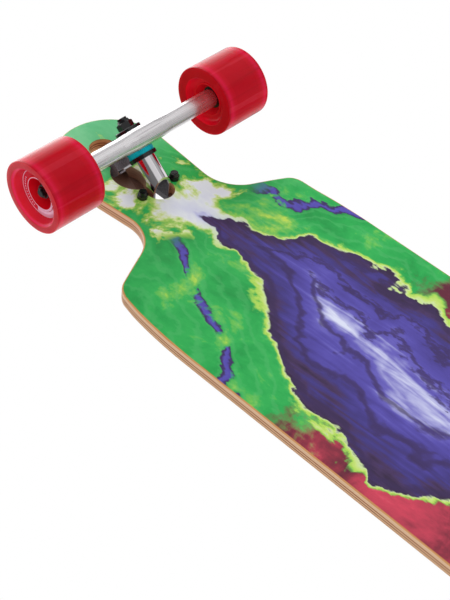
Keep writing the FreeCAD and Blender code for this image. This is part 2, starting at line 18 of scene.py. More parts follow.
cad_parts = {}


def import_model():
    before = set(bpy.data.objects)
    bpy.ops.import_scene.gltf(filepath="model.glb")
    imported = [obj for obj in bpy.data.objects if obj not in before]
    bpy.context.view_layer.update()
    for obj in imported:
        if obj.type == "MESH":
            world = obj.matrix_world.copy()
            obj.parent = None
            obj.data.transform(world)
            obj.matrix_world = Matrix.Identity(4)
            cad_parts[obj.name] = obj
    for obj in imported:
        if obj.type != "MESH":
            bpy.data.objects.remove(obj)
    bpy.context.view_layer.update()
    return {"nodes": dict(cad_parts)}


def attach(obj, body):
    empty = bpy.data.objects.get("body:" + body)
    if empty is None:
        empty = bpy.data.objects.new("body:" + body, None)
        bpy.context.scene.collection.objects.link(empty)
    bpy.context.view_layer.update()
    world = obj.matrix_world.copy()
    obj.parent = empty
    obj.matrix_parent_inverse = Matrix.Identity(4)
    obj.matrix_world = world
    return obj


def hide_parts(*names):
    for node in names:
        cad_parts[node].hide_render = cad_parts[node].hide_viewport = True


log = logging.getLogger("longboard")

MM = 0.001
AXLE_ALONG = 410.0
AXLE_UP = 35.0
Colour = tuple[float, float, float, float]
Span = tuple[float, float]
Triple = tuple[float, float, float]
Node = bpy.types.Node
Socket = bpy.types.NodeSocket


class Place(Enum):
    """A named way from the middle of the board."""

    @property
    def label(self) -> str:
        """The word for it in the frame's node names."""
        return self.name.lower()


class End(Place):
    """The two ends of the board, with the way along X from the middle to each."""

    FRONT = 1
    REAR = -1


class Side(Place):
    """The two sides of the board, with the way along Y from the middle to each."""

    LEFT = 1
    RIGHT = -1


def linear(code: str) -> Colour:
    """Turns an sRGB colour into the scene's linear colour.

    Args:
        code: The colour as "#rrggbb".

    Returns:
        Red, green and blue from 0 to 1, and full alpha.
    """
    shares = [int(code[at : at + 2], 16) / 255 for at in (1, 3, 5)]
    red, green, blue = [c / 12.92 if c <= 0.04045 else ((c + 0.055) / 1.055) ** 2.4 for c in shares]
    return (red, green, blue, 1.0)


def per_metre(size: float) -> float:
    """How many features of a size in millimetres fit in a metre, which is what a pattern's scale counts."""
    return 1.0 / (size * MM)


def stretched(sizes: Triple) -> tuple[float, ...]:
    """A pattern's scale along X, Y and Z, from its features' lengths in millimetres."""
    return tuple(per_metre(size) for size in sizes)


def between(start: float, end: float) -> dict[str, float]:
    """The start and end of a range in millimetres, by the names that its node takes them by."""
    return {"From Min": start * MM, "From Max": end * MM}


@dataclass(frozen=True)
class Spot:
    """What the nodes know of a point on a piece.

    Args:
        place: Its object coordinates.
        x: Its place along the board.
        y: Its place across the board.
        z: Its height.
        along: Its distance from the middle, along the board.
        side: Its distance from the middle line, across the board.
        facing: How far the surface faces up there, from -1 to 1.
    """

    place: Socket
    x: Socket
    y: Socket
    z: Socket
    along: Node
    side: Node
    facing: Socket


class Recipe:
    """The node tree of one material or of the world, filled node by node."""

    def __init__(self, owner: bpy.types.Material | bpy.types.World) -> None:
        """Empties the owner's node tree."""
        owner.use_nodes = True
        self.tree = owner.node_tree
        self.tree.nodes.clear()

    def add(self, kind: str, inputs: Mapping[str | int, object] | None = None,
            stops: Sequence[tuple[float, str]] = (), **settings: object) -> Node:
        """Adds one node with its settings, values and links.

        Args:
            kind: The node's type, without its leading "ShaderNode".
            inputs: A value, a socket, or a node (its first open output) for each input's name or number.
            stops: Places and colours of a colour ramp, from 0 to 1.
            settings: The node's own properties.

        Returns:
            The new node.
        """
        node = self.tree.nodes.new("ShaderNode" + kind)
        for key, value in settings.items():
            setattr(node, key, value)
        for key, value in (inputs or {}).items():
            named = [entry for entry in node.inputs if entry.enabled and entry.name == key]
            socket = named[0] if named else node.inputs[key]
            if isinstance(value, Node):
                value = next(output for output in value.outputs if output.enabled)
            if isinstance(value, Socket):
                self.tree.links.new(value, socket)
            else:
                socket.default_value = value
        if stops:
            marks = node.color_ramp.elements
            while len(marks) < len(stops):
                marks.new(1.0)
            for mark, (place, code) in zip(marks, stops):
                mark.position = place
                mark.color = linear(code)
        return node

    def spot(self) -> Spot:
        """Adds the nodes that say where a point of the piece is and how it faces.

        Returns:
            Their outputs.
        """
        coords = self.add("TexCoord").outputs
        axes = self.add("SeparateXYZ", {"Vector": coords["Object"]}).outputs
        facing = self.add("SeparateXYZ", {"Vector": coords["Normal"]}).outputs["Z"]
        along = self.add("Math", {0: axes["X"]}, operation="ABSOLUTE")
        side = self.add("Math", {0: axes["Y"]}, operation="ABSOLUTE")
        return Spot(coords["Object"], axes["X"], axes["Y"], axes["Z"], along, side, facing)

    def surface(self, shader: Node) -> None:
        """Makes a shader node the material's or the world's own."""
        output = "OutputWorld" if shader.bl_idname == "ShaderNodeBackground" else "OutputMaterial"
        self.add(output, {"Surface": shader})


@dataclass(frozen=True)
class Finish(ABC):
    """One real material of the board, with its procedural look.

    Args:
        name: What the material is, in plain words joined by underscores.
    """

    name: str

    def material(self) -> bpy.types.Material:
        """Builds the material the first time it is asked for.

        Returns:
            The material.
        """
        found = bpy.data.materials.get(self.name)
        if found is None:
            found = bpy.data.materials.new(self.name)
            self.paint(Recipe(found))
        return found

    @abstractmethod
    def paint(self, recipe: Recipe) -> None:
        """Fills the material's node tree."""

    def dress(self, piece: bpy.types.Object) -> None:
        """Puts this finish on all of a piece.

        Args:
            piece: The piece to dress.
        """
        piece.data.materials.clear()
        piece.data.materials.append(self.material())
        log.info("%s: %s", piece.name, self.name)


@dataclass(frozen=True)
class PressedShape:
    """The deck's pressed form, in millimetres: where its underside is and how its sides rise.

    Args:
        underside: Height of the flat underside above the floor.
        thickness: Thickness of the ply.
        rise: How far the sides rise in the wide part.
        half_width: Half the deck's width.
        flat_from: Distance from the middle beyond which the deck is flat.
        full_within: Distance from the middle within which the rise is full.
    """

    underside: float = 84.4
    thickness: float = 13.0
    rise: float = 7.0
    half_width: float = 124.5
    flat_from: float = 350.0
    full_within: float = 285.0

    def depth(self, recipe: Recipe, spot: Spot) -> Node:
        """Depth into the ply, 0 on the print and 1 on the standing side.

        The underside rises with the square of the distance from the middle line, times a share that fades out
        along the board.

        Args:
            recipe: The node tree to add to.
            spot: The point's place.

        Returns:
            The node that gives the depth.
        """
        share = recipe.add("MapRange", {"Value": spot.along, **between(self.flat_from, self.full_within)},
                           interpolation_type="SMOOTHSTEP")
        width = recipe.add("Math", {0: spot.y, 1: self.half_width * MM}, operation="DIVIDE")
        square = recipe.add("Math", {0: width, 1: width}, operation="MULTIPLY")
        risen = recipe.add("Math", {0: square, 1: share}, operation="MULTIPLY")
        lift = recipe.add("Math", {0: risen, 1: self.rise * MM, 2: self.underside * MM},
                          operation="MULTIPLY_ADD")
        above = recipe.add("Math", {0: spot.z, 1: lift}, operation="SUBTRACT")
        return recipe.add("Math", {0: above, 1: self.thickness * MM}, operation="DIVIDE")


@dataclass(frozen=True)
class PrintedPlywood(Finish):
    """Maple ply with a painted print under lacquer: brushed colour below, layered veneers on every cut edge.

    Sizes are in millimetres. A span goes from where something starts to where it is full, as distances from
    the middle along the board unless its line says otherwise.

    Args:
        shape: The deck's pressed form.
        fibre: Width of the wood's fibres. Real ones are too fine to show, so they are drawn this coarse.
        veneer_grain: Lengths of the cut edge's grain along X, Y and Z.
        top_grain: Lengths of the standing side's grain along X, Y and Z.
        opening_half: Span of the truck's opening, from the middle line.
        opening_end: Span of the opening's outer end.
        beside_truck: Span of the painted shade on the opening's walls beside the truck.
        behind_truck: Span where that painted shade gets deep.
        broad: Width of the bends in the painted stream's edge.
        stroke: Lengths of the brush strokes along X, Y and Z.
        stroke_lean: Turn of the brush strokes, in radians.
        patch: Width of the painted patches.
        streak: Lengths of the stream's streaks along X, Y and Z.
        wave_length: Length of the stream's windings.
        wave_swing: How far the stream winds to each side.
        wave_start: Where in a winding the middle of the board is, in radians.
        bend: How far its edge bends in and out.
        bristle: How far the brush frays its edge.
        stream_run: Span along which the stream widens.
        stream_half: Half its width at the start and at the end of that span.
        stream_edge: Span of its painted edge, from the edge outwards.
        heart: Distance of its pale heart from its edge.
        ring: Distance between the rings inside it.
        echo: Distance between the faint echo lines beside it.
        nose: Span where the green gets calm and paler towards the nose; the paleness is a painted sheen.
        red: Span of the red in the middle.
        red_fray: How far the patches fray the red's edge.
        band: Span of the violet band, from the stream's edge.
        band_end: Span of the band's ends.
        rim: Width of the pale rim beside the stream.
        rim_full: Width within which the rim covers the ground.
        rim_narrows: Span along which the rim narrows.
        rim_glow: Span where the rim turns from yellow-green to white.
    """

    shape: PressedShape = PressedShape()
    fibre: float = 0.556
    veneer_grain: Triple = (16.7, 16.7, 1.11)
    top_grain: Triple = (111.0, 3.85, 3.85)
    opening_half: Span = (28.5, 26.5)
    opening_end: Span = (482.0, 480.0)
    beside_truck: Span = (455.0, 440.0)
    behind_truck: Span = (388.0, 402.0)
    broad: float = 83.33
    stroke: Triple = (18.18, 6.667, 1000.0)
    stroke_lean: float = 0.35
    patch: float = 58.82
    streak: Triple = (111.1, 13.33, 1000.0)
    wave_length: float = 430.0
    wave_swing: float = 20.0
    wave_start: float = 0.9
    bend: float = 90.0
    bristle: float = 14.0
    stream_run: Span = (465.0, 170.0)
    stream_half: Span = (-60.0, 76.0)
    stream_edge: Span = (0.5, -1.0)
    heart: float = 95.0
    ring: float = 26.0
    echo: float = 15.0
    nose: Span = (415.0, 462.0)
    red: Span = (235.0, 205.0)
    red_fray: float = 220.0
    band: Span = (52.0, 64.0)
    band_end: Span = (335.0, 315.0)
    rim: float = 50.0
    rim_full: float = 32.0
    rim_narrows: Span = (352.0, 262.0)
    rim_glow: Span = (288.0, 330.0)

    def paint(self, recipe: Recipe) -> None:
        """Chooses print, veneer edge or bare top by the way the surface faces and the depth into the ply.

        Args:
            recipe: The node tree to fill.
        """
        spot = recipe.spot()
        depth = self.shape.depth(recipe, spot)
        edge = self.veneers(recipe, spot, depth)
        top = self.bare_top(recipe, spot)
        printed = self.artwork(recipe, spot)
        is_top = recipe.add("MapRange", {"Value": spot.facing, "From Min": 0.90, "From Max": 0.95})
        is_print = recipe.add("MapRange", {"Value": spot.facing, "From Min": -0.93, "From Max": -0.97})
        wood = recipe.add("Mix", {"Factor": is_top, "A": edge, "B": top}, data_type="RGBA")
        colour = recipe.add("Mix", {"Factor": is_print, "A": wood, "B": printed}, data_type="RGBA")
        fibre = recipe.add("TexNoise", {"Vector": spot.place, "Scale": per_metre(self.fibre), "Detail": 2.0})
        rough_print = recipe.add("MapRange", {"Value": fibre, "To Min": 0.30, "To Max": 0.38})
        rough_wood = recipe.add("MapRange", {"Value": fibre, "To Min": 0.45, "To Max": 0.62})
        rough = recipe.add("Mix", {"Factor": is_print, "A": rough_wood, "B": rough_print}, data_type="FLOAT")
        bump = recipe.add("Bump", {"Strength": 0.06, "Distance": 0.2 * MM, "Height": fibre})
        recipe.surface(recipe.add("BsdfPrincipled", {"Base Color": colour, "Roughness": rough, "Normal": bump,
                                                     "Specular IOR Level": 0.42}))

    def veneers(self, recipe: Recipe, spot: Spot, depth: Node) -> Node:
        """The layered cut edge: pale and dark veneers, stained inside the opening, with painted shade beside
        the truck.

        Args:
            recipe: The node tree to add to.
            spot: The point's place.
            depth: Depth into the ply, from 0 to 1.

        Returns:
            The edge's colour.
        """
        stretch = recipe.add("Mapping", {"Vector": spot.place, "Scale": stretched(self.veneer_grain)})
        grain = recipe.add("TexNoise", {"Vector": stretch, "Scale": 1.0, "Detail": 4.0})
        waver = recipe.add("Math", {0: grain, 1: 0.06, 2: -0.03}, operation="MULTIPLY_ADD")
        layer = recipe.add("Math", {0: depth, 1: waver}, operation="ADD")
        stops = ((0.0, "#c58650"), (0.05, "#d59c66"), (0.08, "#ecc6a0"), (0.32, "#e8be96"),
                 (0.35, "#984a24"), (0.41, "#984a24"), (0.44, "#e6bb90"), (0.54, "#e2b68a"),
                 (0.57, "#8c4824"), (0.62, "#8c4824"), (0.65, "#e6bb90"), (0.76, "#e2b68a"),
                 (0.79, "#a05a34"), (0.82, "#e6bc94"), (0.92, "#e6bc94"), (1.0, "#d8a878"))
        bands = recipe.add("ValToRGB", {"Fac": layer}, stops)
        narrow = recipe.add("MapRange", {"Value": spot.side, **between(*self.opening_half)})
        away = recipe.add("MapRange", {"Value": spot.along, **between(*self.opening_end)})
        opening = recipe.add("Math", {0: narrow, 1: away}, operation="MULTIPLY")
        stained = recipe.add("Mix", {"Factor": 1.0, "A": bands, "B": linear("#ffdcb4")}, data_type="RGBA",
                             blend_type="MULTIPLY")
        # Painted shade: the walls beside and behind the truck are mixed towards a greyer brown, as the truck
        # shades them; the dust mask carries this shade.
        beside = recipe.add("MapRange", {"Value": spot.along, **between(*self.beside_truck), "To Max": 0.75})
        behind = recipe.add("MapRange", {"Value": spot.along, **between(*self.behind_truck), "To Min": 0.5})
        dust = recipe.add("Math", {0: beside, 1: behind}, operation="MULTIPLY")
        walls = recipe.add("Mix", {"Factor": dust, "A": stained, "B": linear("#b89e88")}, data_type="RGBA")
        return recipe.add("Mix", {"Factor": opening, "A": bands, "B": walls}, data_type="RGBA")

    def bare_top(self, recipe: Recipe, spot: Spot) -> Node:
        """The bare maple of the standing side, with grain along the board.

        Args:
            recipe: The node tree to add to.
            spot: The point's place.

        Returns:
            The maple's colour.
        """
        stretch = recipe.add("Mapping", {"Vector": spot.place, "Scale": stretched(self.top_grain)})
        grain = recipe.add("TexNoise", {"Vector": stretch, "Scale": 1.0, "Detail": 5.0, "Distortion": 0.6})
        return recipe.add("ValToRGB", {"Fac": grain}, ((0.3, "#c99a6a"), (0.5, "#ddb88c"), (0.7, "#e8cba4")))

    def artwork(self, recipe: Recipe, spot: Spot) -> Node:
        """The print: a painted agate, from a violet heart over pale bands to a brushed green ground.

        Args:
            recipe: The node tree to add to.
            spot: The point's place.

        Returns:
            The print's colour.
        """
        strokes = recipe.add("Mapping", {"Vector": spot.place, "Scale": stretched(self.stroke),
                                         "Rotation": (0.0, 0.0, self.stroke_lean)})
        brush = recipe.add("TexNoise", {"Vector": strokes, "Scale": 1.0, "Detail": 5.0, "Roughness": 0.65})
        level = self.stream_level(recipe, spot, brush)
        ground = self.ground(recipe, spot, level, brush)
        violets = self.stream(recipe, spot, level, brush)
        inside = recipe.add("MapRange", {"Value": level, **between(*self.stream_edge)})
        return recipe.add("Mix", {"Factor": inside, "A": ground, "B": violets}, data_type="RGBA")

    def stream_level(self, recipe: Recipe, spot: Spot, brush: Node) -> Node:
        """Distance from the edge of the winding stream, in metres, negative inside it.

        The distance from a sine wave along the board, bent by a broad noise and frayed by the brush, less
        half the stream's width there.

        Args:
            recipe: The node tree to add to.
            spot: The point's place.
            brush: The brush strokes' noise.

        Returns:
            The distance.
        """
        broad = recipe.add("TexNoise", {"Vector": spot.place, "Scale": per_metre(self.broad), "Detail": 4.0,
                                        "Roughness": 0.50, "Distortion": 0.4})
        pace = 2 * math.pi * per_metre(self.wave_length)
        turn = recipe.add("Math", {0: spot.x, 1: pace, 2: self.wave_start}, operation="MULTIPLY_ADD")
        wave = recipe.add("Math", {0: turn}, operation="SINE")
        middle = recipe.add("Math", {0: wave, 1: self.wave_swing * MM, 2: spot.y}, operation="MULTIPLY_ADD")
        bend = recipe.add("Math", {0: broad, 1: self.bend * MM, 2: -self.bend / 2 * MM},
                          operation="MULTIPLY_ADD")
        fray = recipe.add("Math", {0: brush, 1: self.bristle * MM, 2: -self.bristle / 2 * MM},
                          operation="MULTIPLY_ADD")
        warp = recipe.add("Math", {0: bend, 1: fray}, operation="ADD")
        warped = recipe.add("Math", {0: middle, 1: warp}, operation="ADD")
        off = recipe.add("Math", {0: warped}, operation="ABSOLUTE")
        narrow, wide = self.stream_half
        spread = recipe.add("MapRange", {"Value": spot.along, **between(*self.stream_run),
                                         "To Min": narrow * MM, "To Max": wide * MM})
        return recipe.add("Math", {0: off, 1: spread}, operation="SUBTRACT")

    def ground(self, recipe: Recipe, spot: Spot, level: Node, brush: Node) -> Node:
        """The ground beside the stream: greens with echo lines, calm and paler at the nose with a painted
        sheen, red in the middle.

        Args:
            recipe: The node tree to add to.
            spot: The point's place.
            level: Distance from the stream's edge.
            brush: The brush strokes' noise.

        Returns:
            The ground's colour, with its bands.
        """
        patches = recipe.add("TexNoise", {"Vector": spot.place, "Scale": per_metre(self.patch), "Detail": 6.0,
                                          "Roughness": 0.62, "Distortion": 0.4})
        mixed = recipe.add("Math", {0: brush, 1: 0.22, 2: -0.11}, operation="MULTIPLY_ADD")
        tone = recipe.add("Math", {0: patches, 1: mixed}, operation="ADD")
        stops = ((0.32, "#118a3c"), (0.44, "#1a9d47"), (0.55, "#2aa94f"), (0.62, "#6cbb4d"),
                 (0.69, "#b6d44c"))
        greens = recipe.add("ValToRGB", {"Fac": tone}, stops)
        turn = recipe.add("Math", {0: level, 1: 2 * math.pi * per_metre(self.echo)}, operation="MULTIPLY")
        echo = recipe.add("Math", {0: turn}, operation="SINE")
        faint = recipe.add("MapRange", {"Value": echo, "From Min": 0.3, "From Max": 0.9, "To Max": 0.22})
        greens = recipe.add("Mix", {"Factor": faint, "A": greens, "B": linear("#5cba72")}, data_type="RGBA")
        # Painted sheen: towards the nose the greens turn calm and paler.
        nose = recipe.add("MapRange", {"Value": spot.along, **between(*self.nose)},
                          interpolation_type="SMOOTHSTEP")
        calm = recipe.add("ValToRGB", {"Fac": tone}, ((0.3, "#40a867"), (0.5, "#55b276"), (0.7, "#6fbe86")))
        greens = recipe.add("Mix", {"Factor": nose, "A": greens, "B": calm}, data_type="RGBA")
        red_edge = recipe.add("Math", {0: tone, 1: self.red_fray * MM, 2: spot.along},
                              operation="MULTIPLY_ADD")
        red_mask = recipe.add("MapRange", {"Value": red_edge, **between(*self.red)})
        reds = recipe.add("ValToRGB", {"Fac": tone}, ((0.36, "#5c1a30"), (0.48, "#86263a"), (0.56, "#ad344a"),
                                                      (0.66, "#c83c54"), (0.76, "#d86a78")))
        field = recipe.add("Mix", {"Factor": red_mask, "A": greens, "B": reds}, data_type="RGBA")
        field = self.violet_band(recipe, spot, level, patches, field)
        return self.pale_rim(recipe, spot, level, patches, field)

    def violet_band(self, recipe: Recipe, spot: Spot, level: Node, patches: Node, field: Node) -> Node:
        """Lays a broken violet band on the field, at an even distance from the stream.

        Args:
            recipe: The node tree to add to.
            spot: The point's place.
            level: Distance from the stream's edge.
            patches: The painted patches' noise.
            field: The ground's colour.

        Returns:
            The ground's colour with the band.
        """
        place = recipe.add("MapRange", {"Value": level, **between(*self.band)})
        stops = ((0.0, "#33204a"), (0.22, "#3a2a66"), (0.34, "#4b40a0"), (0.66, "#5148a8"),
                 (0.80, "#3a2a66"), (1.0, "#33204a"))
        band = recipe.add("ValToRGB", {"Fac": place}, stops)
        from_middle = recipe.add("Math", {0: place, 1: -0.5}, operation="ADD")
        within = recipe.add("Math", {0: from_middle}, operation="ABSOLUTE")
        on_band = recipe.add("MapRange", {"Value": within, "From Min": 0.5, "From Max": 0.42})
        kept = recipe.add("MapRange", {"Value": patches, "From Min": 0.56, "From Max": 0.53})
        wide = recipe.add("MapRange", {"Value": spot.along, **between(*self.band_end)})
        shown = recipe.add("Math", {0: on_band, 1: kept}, operation="MULTIPLY")
        shown = recipe.add("Math", {0: shown, 1: wide}, operation="MULTIPLY")
        return recipe.add("Mix", {"Factor": shown, "A": field, "B": band}, data_type="RGBA")

    def pale_rim(self, recipe: Recipe, spot: Spot, level: Node, patches: Node, field: Node) -> Node:
        """Lays the uneven pale rim beside the stream, white and widest at the truck.

        Args:
            recipe: The node tree to add to.
            spot: The point's place.
            level: Distance from the stream's edge.
            patches: The painted patches' noise.
            field: The ground's colour.

        Returns:
            The ground's colour with the rim.
        """
        narrow = recipe.add("MapRange", {"Value": spot.along, **between(*self.rim_narrows), "To Min": 0.72,
                                         "To Max": 6.0}, interpolation_type="SMOOTHSTEP")
        uneven = recipe.add("MapRange", {"Value": patches, "From Min": 0.38, "From Max": 0.62, "To Min": 0.5,
                                         "To Max": 2.2})
        width = recipe.add("Math", {0: narrow, 1: uneven}, operation="MULTIPLY")
        scaled = recipe.add("Math", {0: level, 1: width}, operation="MULTIPLY")
        rim = recipe.add("MapRange", {"Value": scaled, **between(0.0, self.rim)})
        white = recipe.add("ValToRGB", {"Fac": rim}, ((0.0, "#aeb0da"), (0.10, "#ced2e4"), (0.46, "#dde2e6"),
                                                      (0.62, "#cddb9a"), (0.78, "#b3d04e")))
        glow = recipe.add("ValToRGB", {"Fac": rim}, ((0.0, "#c4d8a2"), (0.25, "#bfd872"), (0.50, "#a8cf52"),
                                                     (0.80, "#62b84e")))
        by_truck = recipe.add("MapRange", {"Value": spot.along, **between(*self.rim_glow)})
        colour = recipe.add("Mix", {"Factor": by_truck, "A": glow, "B": white}, data_type="RGBA")
        is_rim = recipe.add("MapRange", {"Value": scaled, **between(self.rim, self.rim_full)})
        return recipe.add("Mix", {"Factor": is_rim, "A": field, "B": colour}, data_type="RGBA")

    def stream(self, recipe: Recipe, spot: Spot, level: Node, brush: Node) -> Node:
        """The stream: a plum edge, streaked violets with plum rings, and a pale lilac heart.

        Args:
            recipe: The node tree to add to.
            spot: The point's place.
            level: Distance from the stream's edge.
            brush: The brush strokes' noise.

        Returns:
            The stream's colour.
        """
        lines = recipe.add("Mapping", {"Vector": spot.place, "Scale": stretched(self.streak)})
        streaks = recipe.add("TexNoise", {"Vector": lines, "Scale": 1.0, "Detail": 5.0, "Distortion": 1.4})
        inward = recipe.add("MapRange", {"Value": level, **between(0.0, -self.heart)})
        tone = recipe.add("Math", {0: streaks, 1: 0.8, 2: -0.4}, operation="MULTIPLY_ADD")
        depth = recipe.add("Math", {0: inward, 1: tone}, operation="ADD")
        stops = ((0.0, "#2e1b3c"), (0.10, "#402a56"), (0.20, "#3a2f78"), (0.36, "#463b90"),
                 (0.52, "#5046a2"), (0.64, "#625ab2"), (0.76, "#a3a3d4"), (0.88, "#d3d7ec"))
        violets = recipe.add("ValToRGB", {"Fac": depth}, stops)
        turn = recipe.add("Math", {0: level, 1: 2 * math.pi * per_metre(self.ring)}, operation="MULTIPLY")
        frayed = recipe.add("Math", {0: brush, 1: 6.0, 2: turn}, operation="MULTIPLY_ADD")
        wave = recipe.add("Math", {0: frayed}, operation="SINE")
        shown = recipe.add("MapRange", {"Value": wave, "From Min": 0.35, "From Max": 0.95, "To Max": 0.75})
        return recipe.add("Mix", {"Factor": shown, "A": violets, "B": linear("#33204e")}, data_type="RGBA")


@dataclass(frozen=True)
class GripTape(Finish):
    """Black abrasive sheet: matt grains, a few of them drawn lighter as painted glints.

    Args:
        grain: Width of a grain, in millimetres. Real grit is finer, so it is drawn this coarse to show.
        cloud: Width of the worn places, in millimetres.
    """

    grain: float = 0.588
    cloud: float = 38.5

    def paint(self, recipe: Recipe) -> None:
        """Grains as cells, with their own tone and height.

        Args:
            recipe: The node tree to fill.
        """
        place = recipe.spot().place
        grains = recipe.add("TexVoronoi", {"Vector": place, "Scale": per_metre(self.grain)})
        clouds = recipe.add("TexNoise", {"Vector": place, "Scale": per_metre(self.cloud), "Detail": 4.0})
        # Painted glint: grains with a high random value are drawn lighter.
        painted_glint = recipe.add("SeparateColor", {"Color": grains.outputs["Color"]})
        worn = recipe.add("Math", {0: clouds, 1: 0.35, 2: painted_glint}, operation="MULTIPLY_ADD")
        colour = recipe.add("ValToRGB", {"Fac": worn}, ((0.1, "#141415"), (0.8, "#232325"), (1.0, "#3c3c40")))
        bump = recipe.add("Bump", {"Strength": 0.7, "Distance": 0.4 * MM, "Height": grains})
        recipe.surface(recipe.add("BsdfPrincipled", {"Base Color": colour, "Roughness": 0.85, "Normal": bump,
                                                     "Specular IOR Level": 0.3}))


@dataclass(frozen=True)
class PolishedMetal(Finish):
    """Polished aluminium or steel: a clear mirror with fine buffing lines and faint smears.

    Args:
        tone: The metal's colour.
        lowest: Roughness where it is brightest.
        highest: Roughness where it is dullest.
        lines: Lengths of the buffing lines along X, Y and Z, in millimetres. Real ones are finer, so they are
            drawn this coarse to show.
        satin: Share of the surface that the buffing has left frosted.
        shade: The metal's colour in its deepest lines.
        smear: Width of the smears, in millimetres.
    """

    tone: str = "#dcdadb"
    lowest: float = 0.08
    highest: float = 0.20
    lines: Triple = (1.11, 71.4, 1.11)
    satin: float = 0.0
    shade: str = "#b4b1b3"
    smear: float = 14.3

    def paint(self, recipe: Recipe) -> None:
        """Long fine lines in the roughness and the height.

        Args:
            recipe: The node tree to fill.
        """
        place = recipe.spot().place
        stretch = recipe.add("Mapping", {"Vector": place, "Scale": stretched(self.lines)})
        buffed = recipe.add("TexNoise", {"Vector": stretch, "Scale": 1.0, "Detail": 3.0})
        smears = recipe.add("TexNoise", {"Vector": place, "Scale": per_metre(self.smear), "Detail": 3.0})
        dull = recipe.add("Math", {0: buffed, 1: smears}, operation="MULTIPLY")
        rough = recipe.add("MapRange", {"Value": dull, "From Min": 0.12, "From Max": 0.42,
                                        "To Min": self.lowest, "To Max": self.highest})
        colour = recipe.add("ValToRGB", {"Fac": buffed}, ((0.30, self.shade), (0.44, self.tone)))
        bump = recipe.add("Bump", {"Strength": 0.05, "Distance": 0.1 * MM, "Height": buffed})
        recipe.surface(recipe.add("BsdfPrincipled", {"Base Color": colour, "Metallic": 1.0 - self.satin,
                                                     "Roughness": rough, "Normal": bump}))


